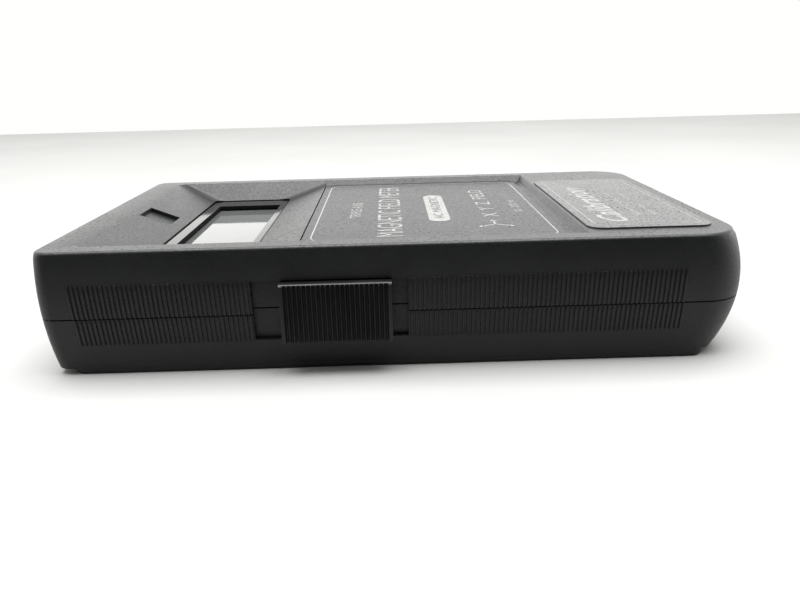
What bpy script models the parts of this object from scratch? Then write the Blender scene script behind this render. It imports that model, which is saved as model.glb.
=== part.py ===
"""Hand-held three-axis magnetic field meter, as separate pieces that fit and move.

The case lies on its back with its face up. X runs along the case from the display
end (-X) to the rounded battery end (+X), Y runs across it, and the power slide is
on the -Y side. The origin is the middle of the flat underside.
"""
import math

import bmesh
import bpy
from mathutils import Matrix, Vector

MM = 0.001

# Case envelope, in millimetres.
CASE_LENGTH = 152.4
CASE_WIDTH = 91.4
CASE_HEIGHT = 28.6
PARTING_HEIGHT = 13.65
PARTING_GAP = 0.3
WALL = 2.2
FLOOR = 2.2
CLEARANCE = 0.3

# The sides curve in as they go down, and the two ends bulge.
SIDE_CURVE = 0.0049
SIDE_WIDEST_DEPTH = 1.05
LEFT_CURVE = 0.0052
LEFT_WIDEST_DEPTH = 14.45
RIGHT_CURVE = 0.018
RIGHT_WIDEST_DEPTH = 12.9
LEFT_CORNER = 3.5
RIGHT_CORNER = 10.0
TOP_EDGE_RADIUS = 0.9
CORNER_STEPS = 5

# Flat foot under the case.
PLINTH_HEIGHT = 1.5
PLINTH_LEFT = -72.0
PLINTH_RIGHT = 68.3
PLINTH_HALF_WIDTH = 42.2
PLINTH_LEFT_CORNER = 3.0
PLINTH_RIGHT_CORNER = 3.0
PLINTH_EDGE = 0.8

# Rims of the face: hopper around the display, and the label's recess.
RIM_LEFT = -67.5
RIM_HALF_WIDTH = 41.0
FACE_SPLIT = -20.9
FACE_RIGHT = 38.4
FACE_RIM_RIGHT = 41.4
LABEL_TOP_DEPTH = 1.4
LABEL_THICKNESS = 0.3
LABEL_FLOOR_DEPTH = LABEL_TOP_DEPTH + LABEL_THICKNESS + CLEARANCE
WINDOW_DEPTH = 4.8
WINDOW_LEFT = -55.5
WINDOW_RIGHT = -32.0
WINDOW_HALF_WIDTH = 36.2
FINGER_MARK = ((-65.7, -58.3), (-4.0, 5.8), 1.1)

# Rating label under the case, clear of the middle of the foot.
RATING_LABEL = (-58.0, -12.0)

# Side grips and the power slide's pocket.
GRIP_BOTTOM = 7.4
GRIP_TOP = 21.1
GRIP_PROUD = 0.35
GRIP_ROOT = 0.8
LEFT_GRIP = (-68.9, -30.9)
RIGHT_GRIP = (2.6, 61.5)
POCKET_DEPTH = 1.2
POCKET = (-30.6, 2.4)
KNOB_LENGTH = 23.4
KNOB_CENTRE = -12.7
KNOB_BOTTOM = 7.9
KNOB_TOP = 20.9
KNOB_FRONT = -47.6
KNOB_BACK = -44.9
KNOB_RIB_PITCH = 1.0
KNOB_TRAVEL = 3.0
SHANK_WIDTH = 5.0
SHANK_HEIGHT = 2.4
SHANK_END = -38.6

# Inside: roof of the front shell, circuit board, display stack.
ROOF = 23.1
FACE_ROOF = 24.4
BATTERY_ROOF = 25.6
BOARD_BOTTOM = 16.0
BOARD_TOP = 17.6
BOARD_LEFT = -63.0
BOARD_RIGHT = 35.0
BOARD_HALF_WIDTH = 39.5
DISPLAY_X = -43.2
LCD_GLASS = (26.0, 60.0)
LCD_TOP = 22.1
LCD_SHEET = 1.0
LCD_REAR_WIDTH = 20.0
LCD_VIEW = (18.2, 56.4)
BEZEL_TOP = 23.6
BEZEL_BOTTOM = 22.4

# Battery and its bay.
BATTERY_LENGTH = 48.5
BATTERY_WIDTH = 26.5
BATTERY_HEIGHT = 17.5
BATTERY_X = 53.85
BATTERY_END = 21.5
BATTERY_BOTTOM = 3.0
TERMINAL_SPACING = 12.7
TERMINAL_HEIGHT = 2.8
BAY_LEFT = 38.3
BAY_HALF_WIDTH = 28.0
BAY_WALL = 1.2
BAY_WALL_TOP = 13.0
DOOR_TOP = 9.0
TONGUE = 1.0

# Fasteners.
CASE_SCREWS = [(-67.5, -36.0), (-67.5, 36.0), (62.0, -36.0), (62.0, 36.0)]
BOARD_SCREWS = [(-60.3, -28.0), (-60.3, 28.0), (31.0, -35.0), (31.0, 35.0)]
CASE_BOSS_RADIUS = 3.9
BOARD_BOSS_RADIUS = 2.5


# ---------------------------------------------------------------- helpers

def clear_scene():
    """Remove the objects that a new file starts with."""
    for thing in list(bpy.data.objects):
        bpy.data.objects.remove(thing, do_unlink=True)


def material(name, colour, roughness, metallic=0.0, alpha=1.0):
    """Principled material with a plain colour."""
    made = bpy.data.materials.new(name)
    made.use_nodes = True
    shader = made.node_tree.nodes["Principled BSDF"]
    shader.inputs["Base Color"].default_value = (*colour, 1.0)
    shader.inputs["Roughness"].default_value = roughness
    shader.inputs["Metallic"].default_value = metallic
    shader.inputs["Alpha"].default_value = alpha
    made.diffuse_color = (*colour, alpha)
    return made


def finish_mesh(name, mesh, look=None, smooth=False):
    """Turn a finished bmesh, drawn in millimetres, into a named object in metres."""
    bmesh.ops.scale(mesh, vec=Vector((MM, MM, MM)), verts=mesh.verts)
    bmesh.ops.recalc_face_normals(mesh, faces=mesh.faces)
    data = bpy.data.meshes.new(name)
    mesh.to_mesh(data)
    mesh.free()
    thing = bpy.data.objects.new(name, data)
    bpy.context.collection.objects.link(thing)
    if look is not None:
        data.materials.append(look)
    if smooth:
        data.shade_smooth()
        data.set_sharp_from_angle(angle=math.radians(35))
    return thing


def hide_cutter(thing):
    """Keep a cutter out of the model."""
    thing.hide_render = True
    thing.display_type = "WIRE"
    return thing


def combine(target, others, operation):
    """Boolean a list of guide solids into an object, one modifier each."""
    for other in others:
        hide_cutter(other)
        step = target.modifiers.new(other.name, "BOOLEAN")
        step.operation = operation
        step.solver = "EXACT"
        step.object = other
    return target


def cut(target, *cutters):
    """Subtract cutters from an object."""
    return combine(target, cutters, "DIFFERENCE")


def join(target, *pieces):
    """Add solids to an object."""
    return combine(target, pieces, "UNION")


def box_mesh(low, high):
    """A bmesh box between two corners."""
    mesh = bmesh.new()
    bmesh.ops.create_cube(mesh, size=1.0)
    size = [high[i] - low[i] for i in range(3)]
    middle = [(high[i] + low[i]) / 2 for i in range(3)]
    bmesh.ops.scale(mesh, vec=Vector(size), verts=mesh.verts)
    bmesh.ops.translate(mesh, vec=Vector(middle), verts=mesh.verts)
    return mesh


def box(name, low, high, look=None, bevel=0.0):
    """A box between two corners, with its edges bevelled where asked."""
    mesh = box_mesh(low, high)
    if bevel:
        bmesh.ops.bevel(mesh, geom=mesh.edges[:], offset=bevel, segments=1, profile=0.5,
                        affect="EDGES")
    return finish_mesh(name, mesh, look)


def cylinder(name, centre, radius, height, look=None, axis="Z", sides=20, bevel=0.0):
    """A cylinder centred on a point, along X, Y or Z."""
    mesh = bmesh.new()
    bmesh.ops.create_cone(mesh, cap_ends=True, segments=sides, radius1=radius, radius2=radius,
                          depth=height)
    if bevel:
        rims = [edge for edge in mesh.edges if abs(edge.verts[0].co.z - edge.verts[1].co.z) < 1e-6]
        bmesh.ops.bevel(mesh, geom=rims, offset=bevel, segments=1, profile=0.5, affect="EDGES")
    turns = {"X": Matrix.Rotation(math.pi / 2, 3, "Y"), "Y": Matrix.Rotation(-math.pi / 2, 3, "X"),
             "Z": Matrix.Identity(3)}
    bmesh.ops.rotate(mesh, cent=(0, 0, 0), matrix=turns[axis], verts=mesh.verts)
    bmesh.ops.translate(mesh, vec=Vector(centre), verts=mesh.verts)
    return finish_mesh(name, mesh, look, smooth=True)


def rounded_outline(left, right, low, high, left_corner, right_corner, steps=CORNER_STEPS):
    """Points of a rectangle with rounded corners, anticlockwise from the -Y, +X corner."""
    corners = [(right - right_corner, low + right_corner, right_corner, -90),
               (right - right_corner, high - right_corner, right_corner, 0),
               (left + left_corner, high - left_corner, left_corner, 90),
               (left + left_corner, low + left_corner, left_corner, 180)]
    points = []
    for centre_x, centre_y, radius, start in corners:
        for step in range(steps + 1):
            angle = math.radians(start + 90 * step / steps)
            points.append((centre_x + radius * math.cos(angle), centre_y + radius * math.sin(angle)))
    return points


def loft(name, levels, look=None, smooth=False):
    """A closed solid through outlines with equal point counts, given as (height, outline)."""
    mesh = bmesh.new()
    rings = [[mesh.verts.new((x, y, z)) for x, y in outline] for z, outline in levels]
    for lower, upper in zip(rings, rings[1:]):
        for i, vert in enumerate(lower):
            j = (i + 1) % len(lower)
            mesh.faces.new((vert, lower[j], upper[j], upper[i]))
    mesh.faces.new(rings[0][::-1])
    mesh.faces.new(rings[-1])
    return finish_mesh(name, mesh, look, smooth)


def slab(name, outline, bottom, top, look=None):
    """An outline in plan, extruded between two heights."""
    return loft(name, [(bottom, outline), (top, outline)], look)


def side_prism(name, section, x_range, look=None):
    """A closed (y, z) section extruded along X."""
    mesh = bmesh.new()
    verts = [mesh.verts.new((x_range[0], y, z)) for y, z in section]
    face = mesh.faces.new(verts)
    swept = bmesh.ops.extrude_face_region(mesh, geom=[face])
    moved = [item for item in swept["geom"] if isinstance(item, bmesh.types.BMVert)]
    bmesh.ops.translate(mesh, vec=Vector((x_range[1] - x_range[0], 0, 0)), verts=moved)
    return finish_mesh(name, mesh, look)


# ---------------------------------------------------------------- case surfaces

def half_width_at(z):
    """Half the case's width at a height."""
    depth = max(CASE_HEIGHT - z - SIDE_WIDEST_DEPTH, 0.0)
    return CASE_WIDTH / 2 - SIDE_CURVE * depth ** 2


def ends_at(z):
    """X of the display end and of the battery end at a height."""
    depth = CASE_HEIGHT - z
    left = -CASE_LENGTH / 2 + LEFT_CURVE * (depth - LEFT_WIDEST_DEPTH) ** 2
    right = CASE_LENGTH / 2 - RIGHT_CURVE * (depth - RIGHT_WIDEST_DEPTH) ** 2
    return left, right


def case_outline(z, inset=0.0):
    """The case's outline at a height, moved in by a distance."""
    left, right = ends_at(z)
    half = half_width_at(z) - inset
    return rounded_outline(left + inset, right - inset, -half, half,
                           max(LEFT_CORNER - inset, 1.0), max(RIGHT_CORNER - inset, 1.0))


def case_levels(heights, inset=0.0):
    """Outlines for a loft through a list of heights."""
    return [(z, case_outline(z, inset)) for z in heights]


def rounded_top_levels():
    """Outlines that turn the top edge over in a quarter circle."""
    levels = []
    for degrees in (0, 30, 60, 90):
        angle = math.radians(degrees)
        z = CASE_HEIGHT - TOP_EDGE_RADIUS * (1 - math.sin(angle))
        inset = TOP_EDGE_RADIUS * (1 - math.cos(angle))
        levels.append((z, case_outline(z, inset)))
    return levels


def plinth_outline(inset=0.0):
    """The foot's outline, moved in by a distance."""
    return rounded_outline(PLINTH_LEFT + inset, PLINTH_RIGHT - inset, inset - PLINTH_HALF_WIDTH,
                           PLINTH_HALF_WIDTH - inset, PLINTH_LEFT_CORNER, PLINTH_RIGHT_CORNER)


def grip_section(side, bottom, top):
    """Section of a grip pad that follows the side's curve; side is -1 or 1."""
    heights = [bottom + (top - bottom) * step / 3 for step in range(4)]
    outer = [(side * (half_width_at(z) + GRIP_PROUD), z) for z in heights]
    inner = [(side * (half_width_at(z) - GRIP_ROOT), z) for z in reversed(heights)]
    return outer + inner


def pocket_cutter(name):
    """Shallow pocket in the -Y side, with a floor that follows the side's curve."""
    bottom = GRIP_BOTTOM + 0.2
    top = GRIP_TOP + 0.2
    heights = [bottom + (top - bottom) * step / 3 for step in range(4)]
    inner = [(-(half_width_at(z) - POCKET_DEPTH), z) for z in heights]
    outer = [(-CASE_WIDTH / 2 - 5, z) for z in (top, bottom)]
    return side_prism(name, inner + outer, POCKET)


def slot_cutter(name):
    """Slot through the wall that the power slide's shank runs in."""
    half = SHANK_WIDTH / 2 + CLEARANCE
    return box(name, (KNOB_CENTRE - half - KNOB_TRAVEL, -46, PARTING_HEIGHT - SHANK_HEIGHT / 2 - 0.4),
               (KNOB_CENTRE + half, -38, PARTING_HEIGHT + SHANK_HEIGHT / 2 + 0.4))


def boss_holes(prefix, places, radius, bottom, top):
    """Round cutters at a list of places."""
    return [cylinder(f"{prefix}_{i}", (x, y, (bottom + top) / 2), radius, top - bottom, sides=12)
            for i, (x, y) in enumerate(places, 1)]


# ---------------------------------------------------------------- case

def build_front_shell(plastic):
    """Upper half: face, hopper around the display, label recess, bosses."""
    seam = PARTING_HEIGHT + PARTING_GAP / 2
    shell = loft("front_shell", case_levels([seam, 16.5, 20.0, 24.0]) + rounded_top_levels(),
                 plastic, smooth=True)
    for side, bank, x_range in ((-1, "left", LEFT_GRIP), (-1, "right", RIGHT_GRIP),
                                (1, "back", (LEFT_GRIP[0], RIGHT_GRIP[1]))):
        join(shell, side_prism(f"front_grip_{bank}", grip_section(side, seam, GRIP_TOP), x_range))
    cavity = loft("front_cavity", case_levels([10.0, 14.0, 18.0, ROOF], WALL))
    rebate = loft("front_rebate", case_levels([12.0, seam + 1.7], WALL - 0.9))
    face_space = box("face_space", (-19.0, -31.0, 20.0), (42.5, 31.0, FACE_ROOF))
    battery_space = box("battery_space", (42.0, -30.0, 20.0), (69.0, 30.0, BATTERY_ROOF))
    cut(shell, cavity, rebate, face_space, battery_space, hopper_cutter(), window_cutter(),
        label_cutter(), finger_mark_cutter(), pocket_cutter("front_pocket"), slot_cutter("front_slot"))
    for prefix, places, radius, bottom in (("front_case_boss", CASE_SCREWS, CASE_BOSS_RADIUS, seam),
                                           ("board_boss", BOARD_SCREWS, BOARD_BOSS_RADIUS,
                                            BOARD_TOP + CLEARANCE)):
        join(shell, *boss_holes(prefix, places, radius, bottom, ROOF + 0.8))
    cut(shell, *boss_holes("case_pilot", CASE_SCREWS, 1.8, seam - 1, 20.5))
    cut(shell, *boss_holes("board_pilot", BOARD_SCREWS, 1.4, BOARD_TOP - 1, 22.5))
    return shell


def hopper_cutter():
    """Sloping sides around the display; the right side stops at the label's edge."""
    rise = 1.0
    left_slope = (WINDOW_LEFT - RIM_LEFT) / WINDOW_DEPTH
    side_slope = (RIM_HALF_WIDTH - WINDOW_HALF_WIDTH) / WINDOW_DEPTH
    right_slope = (FACE_SPLIT - WINDOW_RIGHT) / (WINDOW_DEPTH - LABEL_TOP_DEPTH)

    def level(depth):
        drop = WINDOW_DEPTH - depth
        left = WINDOW_LEFT - left_slope * drop
        right = WINDOW_RIGHT + right_slope * drop
        half = WINDOW_HALF_WIDTH + side_slope * drop
        return CASE_HEIGHT - depth, [(left, -half), (right, -half), (right, half), (left, half)]

    funnel = loft("hopper_funnel", [level(WINDOW_DEPTH), level(-rise)])
    keep = box("hopper_keep", (-80, -60, 20), (FACE_SPLIT, 60, 40))
    funnel = combine(funnel, [keep], "INTERSECT")
    funnel.name = "hopper"
    return funnel


def window_cutter():
    """Opening of the display window."""
    return box("window", (WINDOW_LEFT, -WINDOW_HALF_WIDTH, 20),
               (WINDOW_RIGHT, WINDOW_HALF_WIDTH, CASE_HEIGHT - WINDOW_DEPTH + 0.2))


def label_cutter():
    """Recess for the face label, with a sloping wall at its battery end."""
    floor = CASE_HEIGHT - LABEL_FLOOR_DEPTH
    above = CASE_HEIGHT + 1.0
    slope = (FACE_RIM_RIGHT - FACE_RIGHT) / LABEL_FLOOR_DEPTH
    far_right = FACE_RIM_RIGHT + slope

    def level(z, right):
        return z, [(FACE_SPLIT, -RIM_HALF_WIDTH), (right, -RIM_HALF_WIDTH),
                   (right, RIM_HALF_WIDTH), (FACE_SPLIT, RIM_HALF_WIDTH)]

    return loft("label_recess", [level(floor, FACE_RIGHT), level(above, far_right)])


def finger_mark_cutter():
    """Shallow square mark moulded in the slope above the display."""
    (left, right), (low, high), depth = FINGER_MARK
    slope = WINDOW_DEPTH / (WINDOW_LEFT - RIM_LEFT)
    mesh = box_mesh((left, low, -depth), (right, high, 6.0))
    for vert in mesh.verts:
        vert.co.z += CASE_HEIGHT - slope * (vert.co.x - RIM_LEFT)
    return finish_mesh("finger_mark", mesh)


def build_rear_shell(plastic):
    """Lower half: foot, lip, screw posts, battery bay and its door opening."""
    seam = PARTING_HEIGHT - PARTING_GAP / 2
    shell = loft("rear_shell", case_levels([PLINTH_HEIGHT, 4.0, 7.0, 10.0, seam]), plastic, smooth=True)
    plinth = loft("plinth", [(0.0, plinth_outline(PLINTH_EDGE)), (PLINTH_EDGE, plinth_outline()),
                             (PLINTH_HEIGHT + 1.5, plinth_outline())])
    join(shell, plinth)
    for side, bank, x_range in ((-1, "left", LEFT_GRIP), (-1, "right", RIGHT_GRIP),
                                (1, "back", (LEFT_GRIP[0], RIGHT_GRIP[1]))):
        join(shell, side_prism(f"rear_grip_{bank}", grip_section(side, GRIP_BOTTOM, seam), x_range))
    lip = loft("lip", case_levels([10.0, seam + 1.4], WALL - 0.9 + CLEARANCE))
    join(shell, lip)
    cavity = loft("rear_cavity", case_levels([FLOOR, 6.0, 10.0, 16.0], WALL))
    cut(shell, cavity, pocket_cutter("rear_pocket"), slot_cutter("rear_slot"))
    join(shell, *bay_walls())
    join(shell, *boss_holes("rear_post", CASE_SCREWS, CASE_BOSS_RADIUS, FLOOR - 0.6, seam))
    cut(shell, *boss_holes("counterbore", CASE_SCREWS, 3.1, -1, 7.0))
    cut(shell, *boss_holes("screw_hole", CASE_SCREWS, 1.8, 6.0, seam + 1))
    cut(shell, door_opening("door_opening", CLEARANCE), tongue_grooves("tongue_groove"))
    left, right = RATING_LABEL
    cut(shell, box("rating_recess", (left - CLEARANCE, -22.0, -1), (right + CLEARANCE, 22.0, 0.9)))
    return shell


def bay_walls():
    """Three low walls that hold the battery; the case's end closes the fourth side."""
    low = FLOOR - 0.6
    inner = BAY_HALF_WIDTH + TONGUE + CLEARANCE
    outer = inner + BAY_WALL
    left = BAY_LEFT - CLEARANCE - BAY_WALL
    return [box("bay_wall_left", (left, -outer, low), (left + BAY_WALL, outer, BAY_WALL_TOP)),
            box("bay_wall_near", (left, -outer, low), (68.0, -inner, BAY_WALL_TOP)),
            box("bay_wall_far", (left, inner, low), (68.0, outer, BAY_WALL_TOP))]


def door_opening(name, gap):
    """Block that takes in the floor and the end wall where the battery door sits."""
    return box(name, (BAY_LEFT - gap, -BAY_HALF_WIDTH - gap, -1), (90, BAY_HALF_WIDTH + gap, DOOR_TOP + gap))


def tongue_grooves(name):
    """Slot, wider than the door, that its two tongues slide in."""
    half = BAY_HALF_WIDTH + TONGUE + CLEARANCE
    return box(name, (BAY_LEFT + 0.5, -half, 1.0), (90, half, 2.6))


def build_battery_door(plastic):
    """Slide-off door: plate, turned-up end, tongues and thumb grooves."""
    door = loft("battery_door", case_levels([PLINTH_HEIGHT, 4.0, 6.5, DOOR_TOP]), plastic, smooth=True)
    foot = loft("door_foot", [(0.0, plinth_outline(PLINTH_EDGE)), (PLINTH_EDGE, plinth_outline()),
                              (PLINTH_HEIGHT + 1.0, plinth_outline())])
    join(door, foot)
    combine(door, [door_opening("door_bounds", 0.0)], "INTERSECT")
    cut(door, loft("door_hollow", case_levels([FLOOR, 6.0, 12.0], WALL)))
    half = BAY_HALF_WIDTH + TONGUE
    for side in (-1, 1):
        low, high = sorted((side * half, side * (BAY_HALF_WIDTH - 1.0)))
        join(door, box(f"tongue_{side + 2}", (BAY_LEFT + 1.0, low, 1.3), (64.0, high, 2.1)))
    cut(door, *[box(f"thumb_groove_{i}", (56.0 + 2.0 * i, -8, -1), (57.0 + 2.0 * i, 8, 0.5))
                for i in range(4)])
    return door


def build_power_knob(plastic):
    """Ribbed thumb slide with a shank that reaches through the wall to the switch."""
    half = KNOB_LENGTH / 2
    knob = side_prism("power_knob", [(KNOB_BACK, KNOB_BOTTOM), (KNOB_BACK, KNOB_TOP),
                                     (KNOB_FRONT + 0.9, KNOB_TOP), (KNOB_FRONT, KNOB_TOP - 0.7),
                                     (KNOB_FRONT, KNOB_BOTTOM + 0.5), (KNOB_FRONT + 0.5, KNOB_BOTTOM)],
                      (KNOB_CENTRE - half, KNOB_CENTRE + half), plastic)
    grooves = round((KNOB_LENGTH - 1.4) / KNOB_RIB_PITCH)
    first = KNOB_CENTRE - KNOB_RIB_PITCH * (grooves - 1) / 2
    comb = bmesh.new()
    for i in range(grooves):
        centre = first + KNOB_RIB_PITCH * i
        near = [comb.verts.new((centre + x, y, KNOB_BOTTOM - 1)) for x, y in
                ((-0.4, KNOB_FRONT - 0.3), (0.4, KNOB_FRONT - 0.3), (0.0, KNOB_FRONT + 0.5))]
        face = comb.faces.new(near)
        swept = bmesh.ops.extrude_face_region(comb, geom=[face])
        moved = [item for item in swept["geom"] if isinstance(item, bmesh.types.BMVert)]
        bmesh.ops.translate(comb, vec=Vector((0, 0, KNOB_TOP - KNOB_BOTTOM + 0.1)), verts=moved)
    cut(knob, finish_mesh("knob_comb", comb))
    shank_low = PARTING_HEIGHT - SHANK_HEIGHT / 2
    shank = box("shank", (KNOB_CENTRE - SHANK_WIDTH / 2, KNOB_BACK - 0.6, shank_low),
                (KNOB_CENTRE + SHANK_WIDTH / 2, SHANK_END, shank_low + SHANK_HEIGHT))
    join(knob, shank)
    cut(knob, box("fork_gap", (KNOB_CENTRE - 1.3, -41.4, shank_low - 1),
                  (KNOB_CENTRE + 1.3, SHANK_END + 1, shank_low + SHANK_HEIGHT + 1)))
    return knob


# ---------------------------------------------------------------- display

def build_display(gloss, glass, silver, frame_plastic, elastomer):
    """Bezel, liquid crystal cell, reflector, holder and the two contact strips."""
    flange = 1.3
    bezel = box("display_bezel", (WINDOW_LEFT - flange, -WINDOW_HALF_WIDTH - flange, BEZEL_BOTTOM),
                (WINDOW_RIGHT + flange, WINDOW_HALF_WIDTH + flange, ROOF - CLEARANCE), gloss)
    ring = box("bezel_ring", (WINDOW_LEFT + CLEARANCE, CLEARANCE - WINDOW_HALF_WIDTH, BEZEL_BOTTOM + 0.1),
               (WINDOW_RIGHT - CLEARANCE, WINDOW_HALF_WIDTH - CLEARANCE, BEZEL_TOP))
    view_x, view_y = LCD_VIEW[0] / 2, LCD_VIEW[1] / 2
    join(bezel, ring)
    cut(bezel, box("bezel_opening", (DISPLAY_X - view_x, -view_y, 20), (DISPLAY_X + view_x, view_y, 30)))

    half_x, half_y = LCD_GLASS[0] / 2, LCD_GLASS[1] / 2
    middle = LCD_TOP - LCD_SHEET
    panel = box("lcd_panel", (DISPLAY_X - half_x, -half_y, middle), (DISPLAY_X + half_x, half_y, LCD_TOP), glass)
    rear = LCD_REAR_WIDTH / 2
    join(panel, box("lcd_rear_sheet", (DISPLAY_X - rear, -half_y + 0.5, middle - LCD_SHEET),
                    (DISPLAY_X + rear, half_y - 0.5, middle + 0.2)))
    bottom = middle - LCD_SHEET - CLEARANCE
    box("lcd_reflector", (DISPLAY_X - rear + 0.5, -half_y + 1, bottom - 0.3),
        (DISPLAY_X + rear - 0.5, half_y - 1, bottom), silver)

    gap = CLEARANCE
    holder = box("lcd_holder", (DISPLAY_X - half_x - 1.2, -half_y - 2.6, BOARD_TOP + gap),
                 (DISPLAY_X + half_x + 1.2, half_y + 2.6, LCD_TOP), frame_plastic)
    cut(holder, box("holder_opening", (DISPLAY_X - half_x - gap, -half_y - gap, 10),
                    (DISPLAY_X + half_x + gap, half_y + gap, 30)))
    for i, side in enumerate((-1, 1), 1):
        centre = DISPLAY_X + side * (half_x - 1.5)
        box(f"zebra_strip_{i}", (centre - 1.0, -half_y + 1, BOARD_TOP + gap),
            (centre + 1.0, half_y - 1, middle - gap), elastomer)


# ---------------------------------------------------------------- electronics

def build_board(laminate):
    """Main circuit board with holes for its four screws."""
    board = box("main_board", (BOARD_LEFT, -BOARD_HALF_WIDTH, BOARD_BOTTOM),
                (BOARD_RIGHT, BOARD_HALF_WIDTH, BOARD_TOP), laminate)
    return cut(board, *boss_holes("board_hole", BOARD_SCREWS, 1.7, BOARD_BOTTOM - 1, BOARD_TOP + 1))


def build_chips(epoxy):
    """Flat packages on the face side of the board."""
    chips = {"display_driver_chip": ((-13.0, 0.0), (13.8, 52.0)),
             "coil_amplifier_chip_1": ((2.0, -22.0), (6.4, 19.0)),
             "coil_amplifier_chip_2": ((2.0, 4.0), (6.4, 19.0)),
             "rms_converter_chip": ((15.0, -20.0), (6.4, 19.0)),
             "regulator_chip": ((26.0, 18.0), (5.0, 6.0))}
    for name, ((x, y), (width, length)) in chips.items():
        box(name, (x - width / 2, y - length / 2, BOARD_TOP + 0.6),
            (x + width / 2, y + length / 2, BOARD_TOP + 4.1), epoxy, bevel=0.4)


def build_capacitors(sleeve, film):
    """Cans and film blocks hanging under the board."""
    for i, (x, y) in enumerate(((18.0, 24.0), (26.5, 30.5)), 1):
        cylinder(f"electrolytic_capacitor_{i}", (x, y, BOARD_BOTTOM - 6.0), 3.15, 11.0, sleeve,
                 sides=16, bevel=0.4)
    for i, (x, y) in enumerate(((-25.0, -14.0), (-25.0, 0.0), (-25.0, 14.0)), 1):
        box(f"film_capacitor_{i}", (x - 3.6, y - 1.6, BOARD_BOTTOM - 7.0),
            (x + 3.6, y + 1.6, BOARD_BOTTOM - CLEARANCE), film, bevel=0.3)


def build_trimmers(blue, brass):
    """Two calibration trimmers, each with a slotted rotor that turns about Z."""
    for i, (x, y) in enumerate(((14.0, 10.0), (14.0, 24.0)), 1):
        base = BOARD_TOP + CLEARANCE
        body = box(f"trimmer_body_{i}", (x - 4.75, y - 4.75, base), (x + 4.75, y + 4.75, base + 4.2), blue,
                   bevel=0.3)
        cut(body, cylinder(f"trimmer_well_{i}", (x, y, base + 4.2), 2.9, 3.6, sides=20))
        rotor = cylinder(f"trimmer_rotor_{i}", (x, y, base + 3.7), 2.5, 2.0, brass, sides=20, bevel=0.2)
        cut(rotor, box(f"driver_slot_{i}", (x - 4, y - 0.4, base + 4.0), (x + 4, y + 0.4, base + 6.0)))


def build_coils(nylon, copper):
    """Three search coils at right angles, one for each axis of the field."""
    places = {"X": (-47.0, -22.0), "Y": (-47.0, 20.0), "Z": (-47.0, 0.0)}
    height = 8.9
    length, flange, core, bore = 12.0, 6.2, 2.6, 1.2
    for axis, (x, y) in places.items():
        centre = Vector((x, y, height))
        name = axis.lower()
        bobbin = cylinder(f"coil_bobbin_{name}", centre, flange, length, nylon, axis, sides=20)
        waist = cylinder(f"bobbin_waist_{name}", centre, flange + 1, length - 2.4, axis=axis, sides=20)
        cut(waist, cylinder(f"bobbin_core_{name}", centre, core, length, axis=axis, sides=16))
        cut(bobbin, waist, cylinder(f"bobbin_bore_{name}", centre, bore, length + 2, axis=axis, sides=12))
        winding = cylinder(f"coil_winding_{name}", centre, flange - 0.5, length - 2.4 - 2 * CLEARANCE,
                           copper, axis, sides=20)
        cut(winding, cylinder(f"winding_bore_{name}", centre, core + CLEARANCE, length, axis=axis,
                              sides=16))


def build_slide_switch(steel, lever_plastic):
    """Board-mounted slide switch and the lever that the power slide carries."""
    body = box("slide_switch_body", (KNOB_CENTRE - 9.0, -37.6, 10.6), (KNOB_CENTRE + 6.0, -31.4, 15.7),
               steel, bevel=0.3)
    middle = PARTING_HEIGHT
    cut(body, box("lever_slot", (KNOB_CENTRE - 1.4 - KNOB_TRAVEL, -39, middle - 1.3),
                  (KNOB_CENTRE + 1.4, -35.8, middle + 1.3)))
    box("slide_switch_lever", (KNOB_CENTRE - 1.0, -41.0, middle - 1.0),
        (KNOB_CENTRE + 1.0, -36.1, middle + 1.0), lever_plastic, bevel=0.2)


# ---------------------------------------------------------------- battery

def build_battery(can, steel, snap_plastic):
    """Nine-volt battery across the case, its two terminals and the snap connector."""
    half = BATTERY_WIDTH / 2
    top = BATTERY_BOTTOM + BATTERY_HEIGHT
    middle = BATTERY_BOTTOM + BATTERY_HEIGHT / 2
    box("battery", (BATTERY_X - half, BATTERY_END - BATTERY_LENGTH, BATTERY_BOTTOM),
        (BATTERY_X + half, BATTERY_END, top), can, bevel=1.2)
    start = BATTERY_END + CLEARANCE
    centre_y = start + TERMINAL_HEIGHT / 2
    cells = {"positive": (-1, 2.85, 16), "negative": (1, 3.9, 6)}
    holes = []
    for name, (side, radius, sides) in cells.items():
        x = BATTERY_X + side * TERMINAL_SPACING / 2
        cylinder(f"battery_terminal_{name}", (x, centre_y, middle), radius, TERMINAL_HEIGHT, steel,
                 "Y", sides=sides)
        holes.append(cylinder(f"snap_socket_{name}", (x, centre_y, middle), radius + CLEARANCE,
                              TERMINAL_HEIGHT + 2 * CLEARANCE, axis="Y", sides=16))
    connector = box("snap_connector", (BATTERY_X - 12.8, start + 0.1, middle - 6.4),
                    (BATTERY_X + 12.8, start + 5.2, middle + 6.4), snap_plastic, bevel=0.6)
    cut(connector, *holes)


def lead(name, route, radius, look):
    """A thin wire along a smooth curve through its route, as a tube with closed ends."""
    curve = bpy.data.curves.new(name, "CURVE")
    curve.dimensions = "3D"
    curve.bevel_depth = radius * MM
    curve.bevel_resolution = 2
    curve.use_fill_caps = True
    points = smooth_route(route, 5)
    spline = curve.splines.new("POLY")
    spline.points.add(len(points) - 1)
    for knot, place in zip(spline.points, points):
        knot.co = (*[value * MM for value in place], 1.0)
    curve.materials.append(look)
    thing = bpy.data.objects.new(name, curve)
    bpy.context.collection.objects.link(thing)
    return thing


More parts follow.
